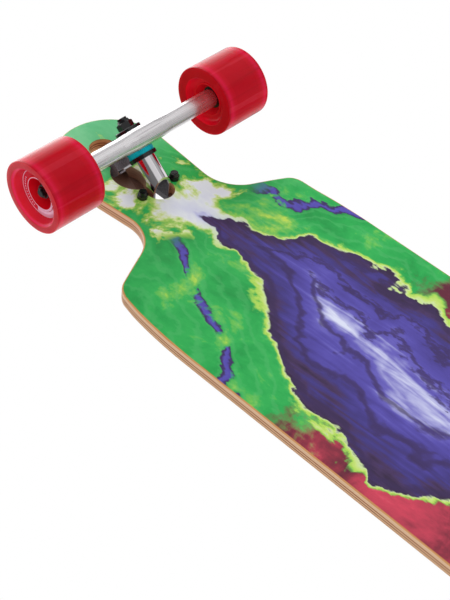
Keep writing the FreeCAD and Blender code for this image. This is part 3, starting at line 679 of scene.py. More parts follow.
@dataclass(frozen=True)
class CastBaseplate(Finish):
    """The cast baseplate: a polished kingpin boss, and painted shade: charcoal on the pivot tower, darker
    grey in the kingpin's pocket, dark brown under the flange.

    Args:
        sand: Width of the mould's grains, in millimetres. Real sand is finer, so it is drawn this coarse.
        boss_reach: How far outboard of the axle the polished part goes, in millimetres.
        flange_from: Height where the flange starts, in millimetres.
        ring: Distance from the middle and height of the point where the kingpin meets the hanger's ring.
        tilt: How far the kingpin leans, in degrees.
        pocket: Radius of the pocket for the kingpin's head, in millimetres.
        edge: How softly one part goes over into the next, in millimetres.
        flange_edge: How softly the flange starts, in millimetres.
    """

    sand: float = 1.11
    boss_reach: float = 20.8
    flange_from: float = 97.0
    ring: Span = (421.9, 49.2)
    tilt: float = 40.0
    pocket: float = 8.7
    edge: float = 0.4
    flange_edge: float = 0.3

    def paint(self, recipe: Recipe) -> None:
        """Polished inboard of the axle, a charcoal painted shade outboard of it, and a lighter standing side.

        Args:
            recipe: The node tree to fill.
        """
        spot = recipe.spot()
        sand = recipe.add("TexNoise", {"Vector": spot.place, "Scale": per_metre(self.sand), "Detail": 4.0})
        limit = AXLE_ALONG + self.boss_reach
        start, full = limit - self.edge, limit + self.edge
        outboard = recipe.add("MapRange", {"Value": spot.along, **between(start, full)})
        flange_full = self.flange_from + self.flange_edge
        high = recipe.add("MapRange", {"Value": spot.z, **between(self.flange_from, flange_full)})
        upward = recipe.add("MapRange", {"Value": spot.facing, "From Min": -0.6, "From Max": -0.4})
        # Painted shade: the pivot tower is a charcoal grey, the kingpin's pocket a darker grey, and the
        # flange's underside a dark brown that also stands in for the ply's reflection there.
        tower = recipe.add("ValToRGB", {"Fac": sand}, ((0.3, "#5f5a60"), (0.5, "#736d74"), (0.7, "#878188")))
        pocket_shade = recipe.add("ValToRGB", {"Fac": sand}, ((0.3, "#48454a"), (0.5, "#575459"), (0.7, "#67646a")))
        under = recipe.add("ValToRGB", {"Fac": sand}, ((0.3, "#6d4f41"), (0.5, "#765648"), (0.7, "#7f5d4f")))
        stand = recipe.add("ValToRGB", {"Fac": sand}, ((0.3, "#b3b2b4"), (0.5, "#c0bfc1"), (0.7, "#cccbcd")))
        flange = recipe.add("Mix", {"Factor": upward, "A": under, "B": stand}, data_type="RGBA")
        polished = linear("#d8d5d8")
        casting = recipe.add("Mix", {"Factor": outboard, "A": polished, "B": tower}, data_type="RGBA")
        outside = recipe.add("Mix", {"Factor": high, "A": casting, "B": flange}, data_type="RGBA")
        pocket = self.in_pocket(recipe, spot)
        colour = recipe.add("Mix", {"Factor": pocket, "A": outside, "B": pocket_shade}, data_type="RGBA")
        inboard = recipe.add("Math", {0: 1.0, 1: outboard}, operation="SUBTRACT")
        bare = recipe.add("Mix", {"Factor": high, "A": inboard, "B": upward}, data_type="FLOAT")
        metal = recipe.add("Mix", {"Factor": pocket, "A": bare, "B": 0.0}, data_type="FLOAT")
        shine = recipe.add("MapRange", {"Value": inboard, "To Min": 0.36, "To Max": 0.08})
        rough = recipe.add("Mix", {"Factor": high, "A": shine, "B": 0.45}, data_type="FLOAT")
        bump = recipe.add("Bump", {"Strength": 0.08, "Distance": 0.2 * MM, "Height": sand})
        recipe.surface(recipe.add("BsdfPrincipled", {"Base Color": colour, "Metallic": metal,
                                                     "Roughness": rough, "Normal": bump}))

    def in_pocket(self, recipe: Recipe, spot: Spot) -> Node:
        """1 on the wall of the channel round the kingpin's head, which is painted a darker grey as shade.

        Towards the road the channel is round about the kingpin's line, and towards the deck its sides are
        straight, so only the distance towards the road counts beside the distance from the middle.

        Args:
            recipe: The node tree to add to.
            spot: The point's place.

        Returns:
            1 in the pocket and 0 elsewhere.
        """
        lean = math.radians(self.tilt)
        ring_along, ring_up = self.ring
        out = recipe.add("Math", {0: spot.along, 1: -ring_along * MM}, operation="ADD")
        up = recipe.add("Math", {0: spot.z, 1: -ring_up * MM}, operation="ADD")
        away = recipe.add("CombineXYZ", {"X": out, "Z": up})
        road = (-math.sin(lean), 0.0, -math.cos(lean))
        towards = recipe.add("VectorMath", {0: away, 1: road}, operation="DOT_PRODUCT").outputs["Value"]
        below = recipe.add("Math", {0: towards, 1: 0.0}, operation="MAXIMUM")
        apart = recipe.add("CombineXYZ", {"X": below, "Y": spot.y})
        radius = recipe.add("VectorMath", {0: apart}, operation="LENGTH").outputs["Value"]
        close = recipe.add("MapRange", {"Value": radius, **between(self.pocket + self.edge, self.pocket)})
        inboard = recipe.add("Math", {0: spot.along, 1: AXLE_ALONG * MM}, operation="LESS_THAN")
        return recipe.add("Math", {0: close, 1: inboard}, operation="MULTIPLY")


@dataclass(frozen=True)
class BlackSteel(Finish):
    """Black oxide steel under a film of oil: near black, with soft glints on worn places.

    Args:
        mottle: Width of the worn places, in millimetres.
    """

    mottle: float = 2.38

    def paint(self, recipe: Recipe) -> None:
        """A mottled black whose worn spots shine more.

        Args:
            recipe: The node tree to fill.
        """
        place = recipe.spot().place
        mottle = recipe.add("TexNoise", {"Vector": place, "Scale": per_metre(self.mottle), "Detail": 4.0})
        stops = ((0.3, "#070709"), (0.6, "#0e0d10"), (0.8, "#19171b"))
        colour = recipe.add("ValToRGB", {"Fac": mottle}, stops)
        rough = recipe.add("MapRange", {"Value": mottle, "From Min": 0.3, "From Max": 0.7, "To Min": 0.10,
                                        "To Max": 0.20})
        bump = recipe.add("Bump", {"Strength": 0.03, "Distance": 0.1 * MM, "Height": mottle})
        recipe.surface(recipe.add("BsdfPrincipled", {"Base Color": colour, "Roughness": rough, "Normal": bump,
                                                     "Specular IOR Level": 0.5}))


@dataclass(frozen=True)
class CastUrethane(Finish):
    """Cast urethane or rubber of one colour: satin, faintly cloudy, with moulding dust.

    Args:
        dark: The colour in its deeper clouds.
        light: The colour in its lighter clouds.
        roughness: How satin it is.
        depth: How far light runs inside, in millimetres.
        gloss: Strength of its reflections.
        cloud: Width of its clouds, in millimetres.
        dust: Width of the dust's grains, in millimetres. Real dust is finer, so it is drawn this coarse.
    """

    dark: str = "#0e0e0f"
    light: str = "#1d1d1f"
    roughness: float = 0.45
    depth: float = 0.0
    gloss: float = 0.4
    cloud: float = 8.33
    dust: float = 0.455

    def paint(self, recipe: Recipe) -> None:
        """Soft clouds, and a fine grain in the gloss.

        Args:
            recipe: The node tree to fill.
        """
        place = recipe.spot().place
        clouds = recipe.add("TexNoise", {"Vector": place, "Scale": per_metre(self.cloud), "Detail": 3.0})
        dust = recipe.add("TexNoise", {"Vector": place, "Scale": per_metre(self.dust), "Detail": 2.0})
        colour = recipe.add("ValToRGB", {"Fac": clouds}, ((0.3, self.dark), (0.7, self.light)))
        rough = recipe.add("MapRange", {"Value": dust, "To Min": self.roughness - 0.06,
                                        "To Max": self.roughness + 0.06})
        bump = recipe.add("Bump", {"Strength": 0.05, "Distance": 0.1 * MM, "Height": dust})
        inputs = {"Base Color": colour, "Roughness": rough, "Normal": bump, "Specular IOR Level": self.gloss}
        if self.depth:
            inputs.update({"Subsurface Weight": 0.25, "Subsurface Scale": self.depth * MM,
                           "Subsurface Radius": (0.3, 1.0, 1.0)})
        recipe.surface(recipe.add("BsdfPrincipled", inputs))


@dataclass(frozen=True)
class BearingSeal(Finish):
    """Moulded bearing seals: red rubber towards the wheel's open side, black rubber towards the truck.

    Args:
        red_from: Distance from the board's middle line where the red seals start, in millimetres.
        red_edge: How softly they start, in millimetres.
        dust: Width of the dust's grains, in millimetres. Real dust is finer, so it is drawn this coarse.
    """

    red_from: float = 110.0
    red_edge: float = 1.0
    dust: float = 0.714

    def paint(self, recipe: Recipe) -> None:
        """Satin rubber whose colour goes by the side that the seal is on.

        Args:
            recipe: The node tree to fill.
        """
        spot = recipe.spot()
        red_full = self.red_from + self.red_edge
        outer = recipe.add("MapRange", {"Value": spot.side, **between(self.red_from, red_full)})
        dust = recipe.add("TexNoise", {"Vector": spot.place, "Scale": per_metre(self.dust), "Detail": 3.0})
        black = recipe.add("ValToRGB", {"Fac": dust}, ((0.3, "#0b0b0c"), (0.7, "#19191b")))
        red = recipe.add("ValToRGB", {"Fac": dust}, ((0.3, "#d40014"), (0.7, "#e0061c")))
        colour = recipe.add("Mix", {"Factor": outer, "A": black, "B": red}, data_type="RGBA")
        rough = recipe.add("MapRange", {"Value": dust, "To Min": 0.48, "To Max": 0.62})
        recipe.surface(recipe.add("BsdfPrincipled", {"Base Color": colour, "Roughness": rough,
                                                     "Specular IOR Level": 0.12}))


@dataclass(frozen=True)
class WheelShape:
    """A wheel's turned form, in millimetres.

    Args:
        radius: Radius of the tread.
        lip_in: Distance of the inner lip from the board's middle line.
        lip_out: Distance of the outer lip from the board's middle line.
        lip_round: Rounding of both lips and of the recess's mouth.
        mouth_round: Rounding of the dish's mouth.
        dish_round: Rounding inside the dish.
        recess_round: Rounding inside the recess.
        core_round: Rounding where the tyre meets the core.
        mouth: Radius of the dish at the outer lip.
        chamfer: Radius of the dish under its chamfer.
        chamfer_depth: Depth of that chamfer.
        floor: Radius of the dish's floor.
        dish_depth: Depth of the dish.
        recess_mouth: Radius of the recess at the inner lip.
        recess_floor: Radius of the recess's floor.
        recess_depth: Depth of the recess.
        core: Radius of the hard core.
        core_step: How far the core stands out of the dish's floor.
    """

    radius: float = 35.0
    lip_in: float = 79.5
    lip_out: float = 133.5
    lip_round: float = 0.8
    mouth_round: float = 1.0
    dish_round: float = 1.2
    recess_round: float = 3.5
    core_round: float = 0.2
    mouth: float = 28.6
    chamfer: float = 26.0
    chamfer_depth: float = 2.0
    floor: float = 24.6
    dish_depth: float = 9.0
    recess_mouth: float = 24.5
    recess_floor: float = 22.0
    recess_depth: float = 6.0
    core: float = 17.5
    core_step: float = 0.5

    def corners(self) -> tuple[Triple, ...]:
        """The tyre's closed outline, from the core's inner end round over the tread.

        Returns:
            Radius, distance from the board's middle line and rounding of each corner.
        """
        recess, dish = self.lip_in + self.recess_depth, self.lip_out - self.dish_depth
        return (
            (self.core, recess, self.core_round),
            (self.recess_floor, recess, self.recess_round),
            (self.recess_mouth, self.lip_in, self.lip_round),
            (self.radius, self.lip_in, self.lip_round),
            (self.radius, self.lip_out, self.lip_round),
            (self.mouth, self.lip_out, self.mouth_round),
            (self.chamfer, self.lip_out - self.chamfer_depth, self.dish_round),
            (self.floor, dish, self.dish_round),
            (self.core, dish, self.core_round),
        )


@dataclass(frozen=True)
class WheelUrethane(Finish):
    """Clear red wheel urethane: wet gloss, light that runs inside the lips with a painted glow, tread with
    faint turning marks.

    Sizes are in millimetres. A span goes from where something starts to where it is full.

    Args:
        form: The wheel's form.
        cloud: Width of the casting's clouds.
        mark: Lengths of the turning marks along X, Y and Z. Real ones are finer; these are coarse to show.
        thin: How far from the lips the urethane gets thin and takes a painted glow.
        lip_face: Span of the outer lip's face, inwards from the lip.
        shoulder: Span of the inner lip's face, inwards from the tread.
        blend: How softly the dishes start.
        rim_in: Distance of the rim of painted glow from the dish's mouth.
        rim_width: Span of that painted glow to each side.
        rim_depth: Span of that painted glow, inwards from the outer lip.
        glow: How far light runs inside.
    """

    form: WheelShape = WheelShape()
    cloud: float = 16.67
    mark: Triple = (6.667, 250.0, 6.667)
    thin: float = 12.0
    lip_face: Span = (0.5, 0.1)
    shoulder: Span = (0.4, 0.8)
    blend: float = 0.3
    rim_in: float = 1.3
    rim_width: Span = (1.2, 0.3)
    rim_depth: Span = (2.6, 1.8)
    glow: float = 8.0

    def paint(self, recipe: Recipe) -> None:
        """Deep red, with a painted glow towards the lips, where light runs through the thin urethane.

        The clear coat has a low index, because the real gloss is faint where the surface is seen straight on.

        Args:
            recipe: The node tree to fill.
        """
        spot = recipe.spot()
        out = recipe.add("Math", {0: spot.along, 1: -AXLE_ALONG * MM}, operation="ADD")
        up = recipe.add("Math", {0: spot.z, 1: -AXLE_UP * MM}, operation="ADD")
        flat = recipe.add("CombineXYZ", {"X": out, "Z": up})
        radius = recipe.add("VectorMath", {0: flat}, operation="LENGTH").outputs["Value"]
        half = (self.form.lip_in + self.form.lip_out) / 2 * MM
        truckward = recipe.add("Math", {0: spot.side, 1: half}, operation="LESS_THAN")
        clouds = recipe.add("TexNoise", {"Vector": spot.place, "Scale": per_metre(self.cloud), "Detail": 3.0})
        marks = recipe.add("Mapping", {"Vector": spot.place, "Scale": stretched(self.mark)})
        drawn = recipe.add("TexNoise", {"Vector": marks, "Scale": 1.0, "Detail": 3.0})
        look = self.tread(recipe, spot.side, clouds, drawn)
        look = self.lips(recipe, spot.side, radius, truckward, clouds, look)
        colour, coat = self.dishes(recipe, spot.side, radius, truckward, clouds, look)
        bump = recipe.add("Bump", {"Strength": 0.04, "Distance": 0.1 * MM, "Height": drawn})
        recipe.surface(recipe.add("BsdfPrincipled", {
            "Base Color": colour, "Roughness": 0.4, "Normal": bump, "Subsurface Weight": 0.5,
            "Subsurface Radius": (1.0, 0.05, 0.08), "Subsurface Scale": self.glow * MM,
            "Specular IOR Level": 0.02, "Coat Weight": coat, "Coat Roughness": 0.05, "Coat IOR": 1.22}))

    def tread(self, recipe: Recipe, side: Node, clouds: Node, drawn: Node) -> tuple[Node, Node]:
        """The tread: deep red with darker turning marks, thin lines of painted highlight on them, and painted
        glow near the lips.

        Args:
            recipe: The node tree to add to.
            side: Distance from the board's middle line, in metres.
            clouds: Faint clouds in the casting.
            drawn: The turning marks across the tread.

        Returns:
            The colour and the strength of the gloss.
        """
        lip_in, lip_out = self.form.lip_in, self.form.lip_out
        # Painted glow: the tread gets lighter towards both lips, for light that runs through the thin
        # urethane there.
        glow_out = recipe.add("MapRange", {"Value": side, **between(lip_out - self.thin, lip_out)})
        glow_in = recipe.add("MapRange", {"Value": side, **between(lip_in + self.thin, lip_in)})
        thin = recipe.add("Math", {0: glow_out, 1: glow_in}, operation="MAXIMUM")
        shade = recipe.add("Math", {0: clouds, 1: 0.12, 2: thin}, operation="MULTIPLY_ADD")
        stops = ((0.0, "#a60316"), (0.10, "#b4071c"), (0.35, "#b8081f"), (0.70, "#c8123a"),
                 (0.86, "#be0c2c"), (1.0, "#a4051a"))
        clear = recipe.add("ValToRGB", {"Fac": shade}, stops)
        deep = recipe.add("MapRange", {"Value": drawn, "From Min": 0.42, "From Max": 0.32, "To Max": 0.35})
        colour = recipe.add("Mix", {"Factor": deep, "A": clear, "B": linear("#8e0212")}, data_type="RGBA")
        # Painted highlight: thin pale lines along the turning marks.
        pale = recipe.add("MapRange", {"Value": drawn, "From Min": 0.575, "From Max": 0.595, "To Max": 0.11})
        colour = recipe.add("Mix", {"Factor": pale, "A": colour, "B": linear("#dc5064")}, data_type="RGBA")
        gloss = recipe.add("MapRange", {"Value": drawn, "From Min": 0.3, "From Max": 0.7, "To Min": 1.0,
                                        "To Max": 0.75})
        return colour, gloss

    def lips(self, recipe: Recipe, side: Node, radius: Socket, truckward: Node, clouds: Node,
             look: tuple[Node, Node]) -> tuple[Node, Node]:
        """Lays the flat faces of the lips on the tread: pale with painted glow and glossy outside, deep and
        dull inside.

        Args:
            recipe: The node tree to add to.
            side: Distance from the board's middle line, in metres.
            radius: Distance from the axle's line, in metres.
            truckward: 1 on the half of the wheel towards the truck.
            clouds: Faint clouds in the casting.
            look: The tread's colour and gloss.

        Returns:
            The colour and the strength of the gloss.
        """
        colour, gloss = look
        start, full = self.lip_face
        lip_out, tread = self.form.lip_out, self.form.radius
        face_out = recipe.add("MapRange", {"Value": side, **between(lip_out - start, lip_out - full)})
        start, full = self.shoulder
        faces = recipe.add("MapRange", {"Value": radius, **between(tread - start, tread - full)})
        face_in = recipe.add("Math", {0: truckward, 1: faces}, operation="MULTIPLY")
        gloss = recipe.add("Mix", {"Factor": face_out, "A": gloss, "B": 1.0}, data_type="FLOAT")
        gloss = recipe.add("Mix", {"Factor": face_in, "A": gloss, "B": 0.2}, data_type="FLOAT")
        # Painted glow: the outer lip's face is a paler red than the same urethane on the inner lip.
        painted_glow_lip = recipe.add("ValToRGB", {"Fac": clouds}, ((0.3, "#c62a36"), (0.7, "#d23c46")))
        deep_lip = recipe.add("ValToRGB", {"Fac": clouds}, ((0.3, "#ba0a16"), (0.7, "#c6101e")))
        colour = recipe.add("Mix", {"Factor": face_out, "A": colour, "B": painted_glow_lip}, data_type="RGBA")
        colour = recipe.add("Mix", {"Factor": face_in, "A": colour, "B": deep_lip}, data_type="RGBA")
        return colour, gloss

    def dishes(self, recipe: Recipe, side: Node, radius: Socket, truckward: Node, clouds: Node,
               look: tuple[Node, Node]) -> tuple[Node, Node]:
        """Lays the dish and recess on the lips, painted a brighter red as light coming through the urethane,
        and the thin rim of painted glow round the dish's mouth.

        Args:
            recipe: The node tree to add to.
            side: Distance from the board's middle line, in metres.
            radius: Distance from the axle's line, in metres.
            truckward: 1 on the half of the wheel towards the truck.
            clouds: Faint clouds in the casting.
            look: The colour and gloss of tread and lips.

        Returns:
            The colour and the strength of the gloss.
        """
        colour, gloss = look
        form = self.form
        open_to = recipe.add("MapRange", {"Value": side, **between(form.lip_in, form.lip_out),
                                          "To Min": form.recess_mouth * MM, "To Max": form.mouth * MM})
        within = recipe.add("Math", {0: open_to, 1: radius}, operation="SUBTRACT")
        dish = recipe.add("MapRange", {"Value": within, **between(-self.blend, self.blend)})
        # Painted light: the dish and the recess are a brighter red, for light that comes through the urethane
        # into them.
        painted_bowl_light = recipe.add("ValToRGB", {"Fac": clouds}, ((0.3, "#de2438"), (0.7, "#e63044")))
        painted_well_light = recipe.add("ValToRGB", {"Fac": clouds}, ((0.3, "#e20a22"), (0.7, "#ee162e")))
        painted_bowl_light = recipe.add("Mix", {"Factor": truckward, "A": painted_bowl_light, "B": painted_well_light}, data_type="RGBA")
        colour = recipe.add("Mix", {"Factor": dish, "A": colour, "B": painted_bowl_light}, data_type="RGBA")
        gloss = recipe.add("Mix", {"Factor": dish, "A": gloss, "B": 0.4}, data_type="FLOAT")
        # Painted glow: a thin pink rim round the dish's mouth.
        rim_radius = (form.mouth - self.rim_in) * MM
        from_rim = recipe.add("Math", {0: radius, 1: rim_radius}, operation="SUBTRACT")
        width = recipe.add("Math", {0: from_rim}, operation="ABSOLUTE")
        ring = recipe.add("MapRange", {"Value": width, **between(*self.rim_width)})
        start, full = self.rim_depth
        near = recipe.add("MapRange", {"Value": side, **between(form.lip_out - start, form.lip_out - full)})
        rim = recipe.add("Math", {0: ring, 1: near}, operation="MULTIPLY")
        colour = recipe.add("Mix", {"Factor": rim, "A": colour, "B": linear("#e8305c")}, data_type="RGBA")
        return colour, gloss


@dataclass(frozen=True)
class PrintInk(Finish):
    """Pad-printed pink ink: a thin satin film with tiny pinholes in it.

    Args:
        speckle: Width of the pinholes, in millimetres. Real ones are finer, so they are drawn this coarse.
    """

    speckle: float = 0.667

    def paint(self, recipe: Recipe) -> None:
        """Pink with fine speckle.

        Args:
            recipe: The node tree to fill.
        """
        place = recipe.spot().place
        speckle = recipe.add("TexNoise", {"Vector": place, "Scale": per_metre(self.speckle), "Detail": 2.0})
        stops = ((0.3, "#f6aecb"), (0.45, "#fec0dc"), (0.7, "#ffcee4"))
        colour = recipe.add("ValToRGB", {"Fac": speckle}, stops)
        recipe.surface(recipe.add("BsdfPrincipled", {"Base Color": colour, "Roughness": 0.4}))


@dataclass(frozen=True)
class FloorPaper(Finish):
    """White studio paper that fades out with distance and is seen only from above.

    Its shadow is the soft grey of an even surround: the less open each spot is to the room, the darker it is.

    Args:
        reach: How far away a thing still takes light from the paper, in millimetres.
        fade: Distances from the board's middle where the paper starts to fade and is gone, in millimetres.
        fibre: Width of the paper's fibres, in millimetres. Real ones are finer; these are coarse to show.
    """

    reach: float = 260.0
    fade: Span = (1000.0, 2600.0)
    fibre: float = 1.43

    def paint(self, recipe: Recipe) -> None:
        """Faintly fibrous white under a soft shadow, clear from below and far away.

        Args:
            recipe: The node tree to fill.
        """
        place = recipe.spot().place
        fibre = recipe.add("TexNoise", {"Vector": place, "Scale": per_metre(self.fibre), "Detail": 3.0})
        white = recipe.add("ValToRGB", {"Fac": fibre}, ((0.3, "#f3f3f4"), (0.7, "#f8f8f9")))
        room = recipe.add("AmbientOcclusion", {"Distance": self.reach * MM}, samples=16).outputs["AO"]
        stops = ((0.0, "#68686d"), (0.45, "#b4b4b8"), (0.97, "#ffffff"))
        shadow = recipe.add("ValToRGB", {"Fac": room}, stops)
        colour = recipe.add("Mix", {"Factor": 1.0, "A": white, "B": shadow}, data_type="RGBA",
                            blend_type="MULTIPLY")
        paper = recipe.add("Emission", {"Color": colour})
        away = recipe.add("VectorMath", {0: place}, operation="LENGTH").outputs["Value"]
        fade = recipe.add("MapRange", {"Value": away, **between(*self.fade)}, interpolation_type="SMOOTHSTEP")
        below = recipe.add("NewGeometry").outputs["Backfacing"]
        clear = recipe.add("Math", {0: fade, 1: below}, operation="MAXIMUM")
        through = recipe.add("BsdfTransparent")
        recipe.surface(recipe.add("MixShader", {0: clear, 1: paper, 2: through}))


# Lengths of grinding marks in millimetres, coarser than real ones so that they show
GROUND_LINES = (3.33, 3.33, 3.33)

# Lacquered maple: clear painted colour below, striped cut edges
PLYWOOD = PrintedPlywood("printed_maple_plywood")
# Abrasive sheet: a matt black that hardly takes any light
TAPE = GripTape("black_grip_sheet")
# Buffed aluminium: soft silver that mirrors the wheels near its ends
HANGER_METAL = PolishedMetal("polished_aluminium", "#eeebed", 0.22, 0.36, satin=0.06, shade="#c6c2c5")
# Cast aluminium: bright where it was polished and grainy where it was not, with painted shade on the tower,
# in the pocket and under the flange
BASEPLATE_METAL = CastBaseplate("cast_aluminium_baseplate")
# Oiled black oxide: black with small clear glints
BLACK_STEEL = BlackSteel("black_oxide_steel")
# Ground steel: a plain grey mirror
BRIGHT_STEEL = PolishedMetal("bright_ground_steel", "#c8c8cc", 0.14, 0.30, GROUND_LINES)
# Soft cast urethane: deep teal with hardly any gloss
TEAL_URETHANE = CastUrethane("teal_bushing_urethane", "#009cab", "#00b4c2", 0.38, 4.0, gloss=0.12)
# Soft cast urethane: a satin black
BLACK_URETHANE = CastUrethane("black_bushing_urethane")
# Clear cast urethane: a wet, deep red, with a painted glow where it is thin and in its dishes
RED_URETHANE = WheelUrethane("red_wheel_urethane")
# Moulded hard plastic: an even satin red
RED_CORE = CastUrethane("red_core_plastic", "#dc0016", "#e6041e", 0.44, gloss=0.1)
# Hardened steel: a dull grey-black ring, the dark tone painted shade from deep inside the wheel
RACE_STEEL = PolishedMetal("dark_race_steel", "#2c2c2e", 0.28, 0.42, GROUND_LINES, shade="#202022")
# Moulded rubber: a satin disc, red outside and black inside
SEAL = BearingSeal("bearing_seal")
# Printed ink: a pale pink film on the red
INK = PrintInk("pink_print_ink")
# Studio paper: an even white that only shows the board's shadow
PAPER = FloorPaper("white_floor_paper")


def rounded(corners: Sequence[Triple], steps: int) -> np.ndarray:
    """Rounds the corners of a closed outline.

    Each corner becomes an arc that touches both of its sides, at the corner's radius over the tangent of half
    the angle between them.

    Args:
        corners: Two coordinates and the rounding radius of each corner.
        steps: Points on each arc.

    Returns:
        The outline's points, corners times steps by 2.
    """
    table = np.array(corners, float)
    at, radius = table[:, :2], table[:, 2:]
    back = np.roll(at, 1, axis=0) - at
    ahead = np.roll(at, -1, axis=0) - at
    back /= np.linalg.norm(back, axis=1, keepdims=True)
    ahead /= np.linalg.norm(ahead, axis=1, keepdims=True)
    half = np.arccos(np.clip(np.sum(back * ahead, axis=1, keepdims=True), -1, 1)) / 2
    reach = radius / np.tan(half)
    middle = back + ahead
    middle /= np.maximum(np.linalg.norm(middle, axis=1, keepdims=True), 1e-9)
    centre = at + middle * radius / np.sin(half)
    start = at + back * reach - centre
    end = at + ahead * reach - centre
    turn = np.pi - 2 * half[:, None]
    share = np.linspace(0, 1, steps)[None, :, None]
    sweep = np.sin(turn)
    arc = (np.sin((1 - share) * turn) * start[:, None] + np.sin(share * turn) * end[:, None]) / sweep
    return (centre[:, None] + arc).reshape(-1, 2)


def grid_piece(name: str, points: np.ndarray, loop_rows: bool, loop_columns: bool) -> bpy.types.Object:
    """Makes a smooth piece from a grid of points, with flat caps on the ends of an open tube.

    Args:
        name: The piece's name.
        points: Rows by columns by 3 coordinates, in metres.
        loop_rows: Whether the last row joins the first.
        loop_columns: Whether the last column joins the first.

    Returns:
        The new piece, linked to the scene, with its normals outward.
    """
    rows, columns = points.shape[:2]
    index = np.arange(rows * columns).reshape(rows, columns)
    if loop_rows:
        index = np.vstack([index, index[:1]])
    if loop_columns:
        index = np.hstack([index, index[:, :1]])
    corners = [index[:-1, :-1], index[1:, :-1], index[1:, 1:], index[:-1, 1:]]
    quads = np.stack(corners, axis=-1).reshape(-1, 4)
    faces = quads.tolist()
    if not loop_rows and loop_columns:
        faces += [index[0, :-1].tolist(), index[-1, :-1][::-1].tolist()]
    mesh = bpy.data.meshes.new(name)
    mesh.from_pydata(points.reshape(-1, 3).tolist(), [], faces)
    smooth = np.ones(len(faces), bool)
    smooth[len(quads):] = False
    mesh.polygons.foreach_set("use_smooth", smooth)
    mesh.update()
    piece = bpy.data.objects.new(name, mesh)
    bpy.context.scene.collection.objects.link(piece)
    return piece


@dataclass
class Deck:
    """The pressed deck and the sheet on its standing side.

    Args:
        nodes: The frame's pieces by name.
    """

    nodes: Mapping[str, bpy.types.Object]

    def dress(self) -> None:
        """Prints the deck and lays the grip sheet's finish."""
        PLYWOOD.dress(self.nodes["deck"])
        TAPE.dress(self.nodes["grip_tape"])


@dataclass
class Truck:
    """One truck: baseplate, kingpin stack, hanger, axle and mounting hardware.

    Args:
        end: Which end of the board it is on.
        nodes: The frame's pieces by name.
    """

    end: End
    nodes: Mapping[str, bpy.types.Object]

    def finishes(self) -> dict[str, Finish]:
        """The finish of each of the truck's pieces.

        Returns:
            The finishes by the pieces' names, without the end's word.
        """
        return {
            "baseplate": BASEPLATE_METAL,
            "hanger": HANGER_METAL,
            "pivot_cup": BLACK_URETHANE,
            "kingpin": BLACK_STEEL,
            "kingpin_nut": BLACK_STEEL,
            "boardside_washer": BLACK_STEEL,
            "roadside_washer": BLACK_STEEL,
            "boardside_bushing": TEAL_URETHANE,
            "roadside_bushing": BLACK_URETHANE,
            "mounting_bolts": BLACK_STEEL,
            "mounting_nuts": BLACK_STEEL,
            "axle": BLACK_STEEL,
            "axle_nuts": BLACK_STEEL,
            "speed_washers": BRIGHT_STEEL,
        }

    def dress(self) -> None:
        """Gives every piece of the truck its finish."""
        for name, finish in self.finishes().items():
            finish.dress(self.nodes[f"{self.end.label}_{name}"])


@dataclass(frozen=True)
class PrintBand:
    """One flat band of print on a wheel's dish.

    Args:
        name: The end of the piece's name.
        radii: Its inner and outer radius, in millimetres.
        start: The angle where it starts, in degrees.
        sweep: How far round it goes, in degrees.
        on_core: Whether it lies on the core, which stands out of the dish's floor.
    """

    name: str
    radii: Span
    start: float = 0.0
    sweep: float = 360.0
    on_core: bool = False


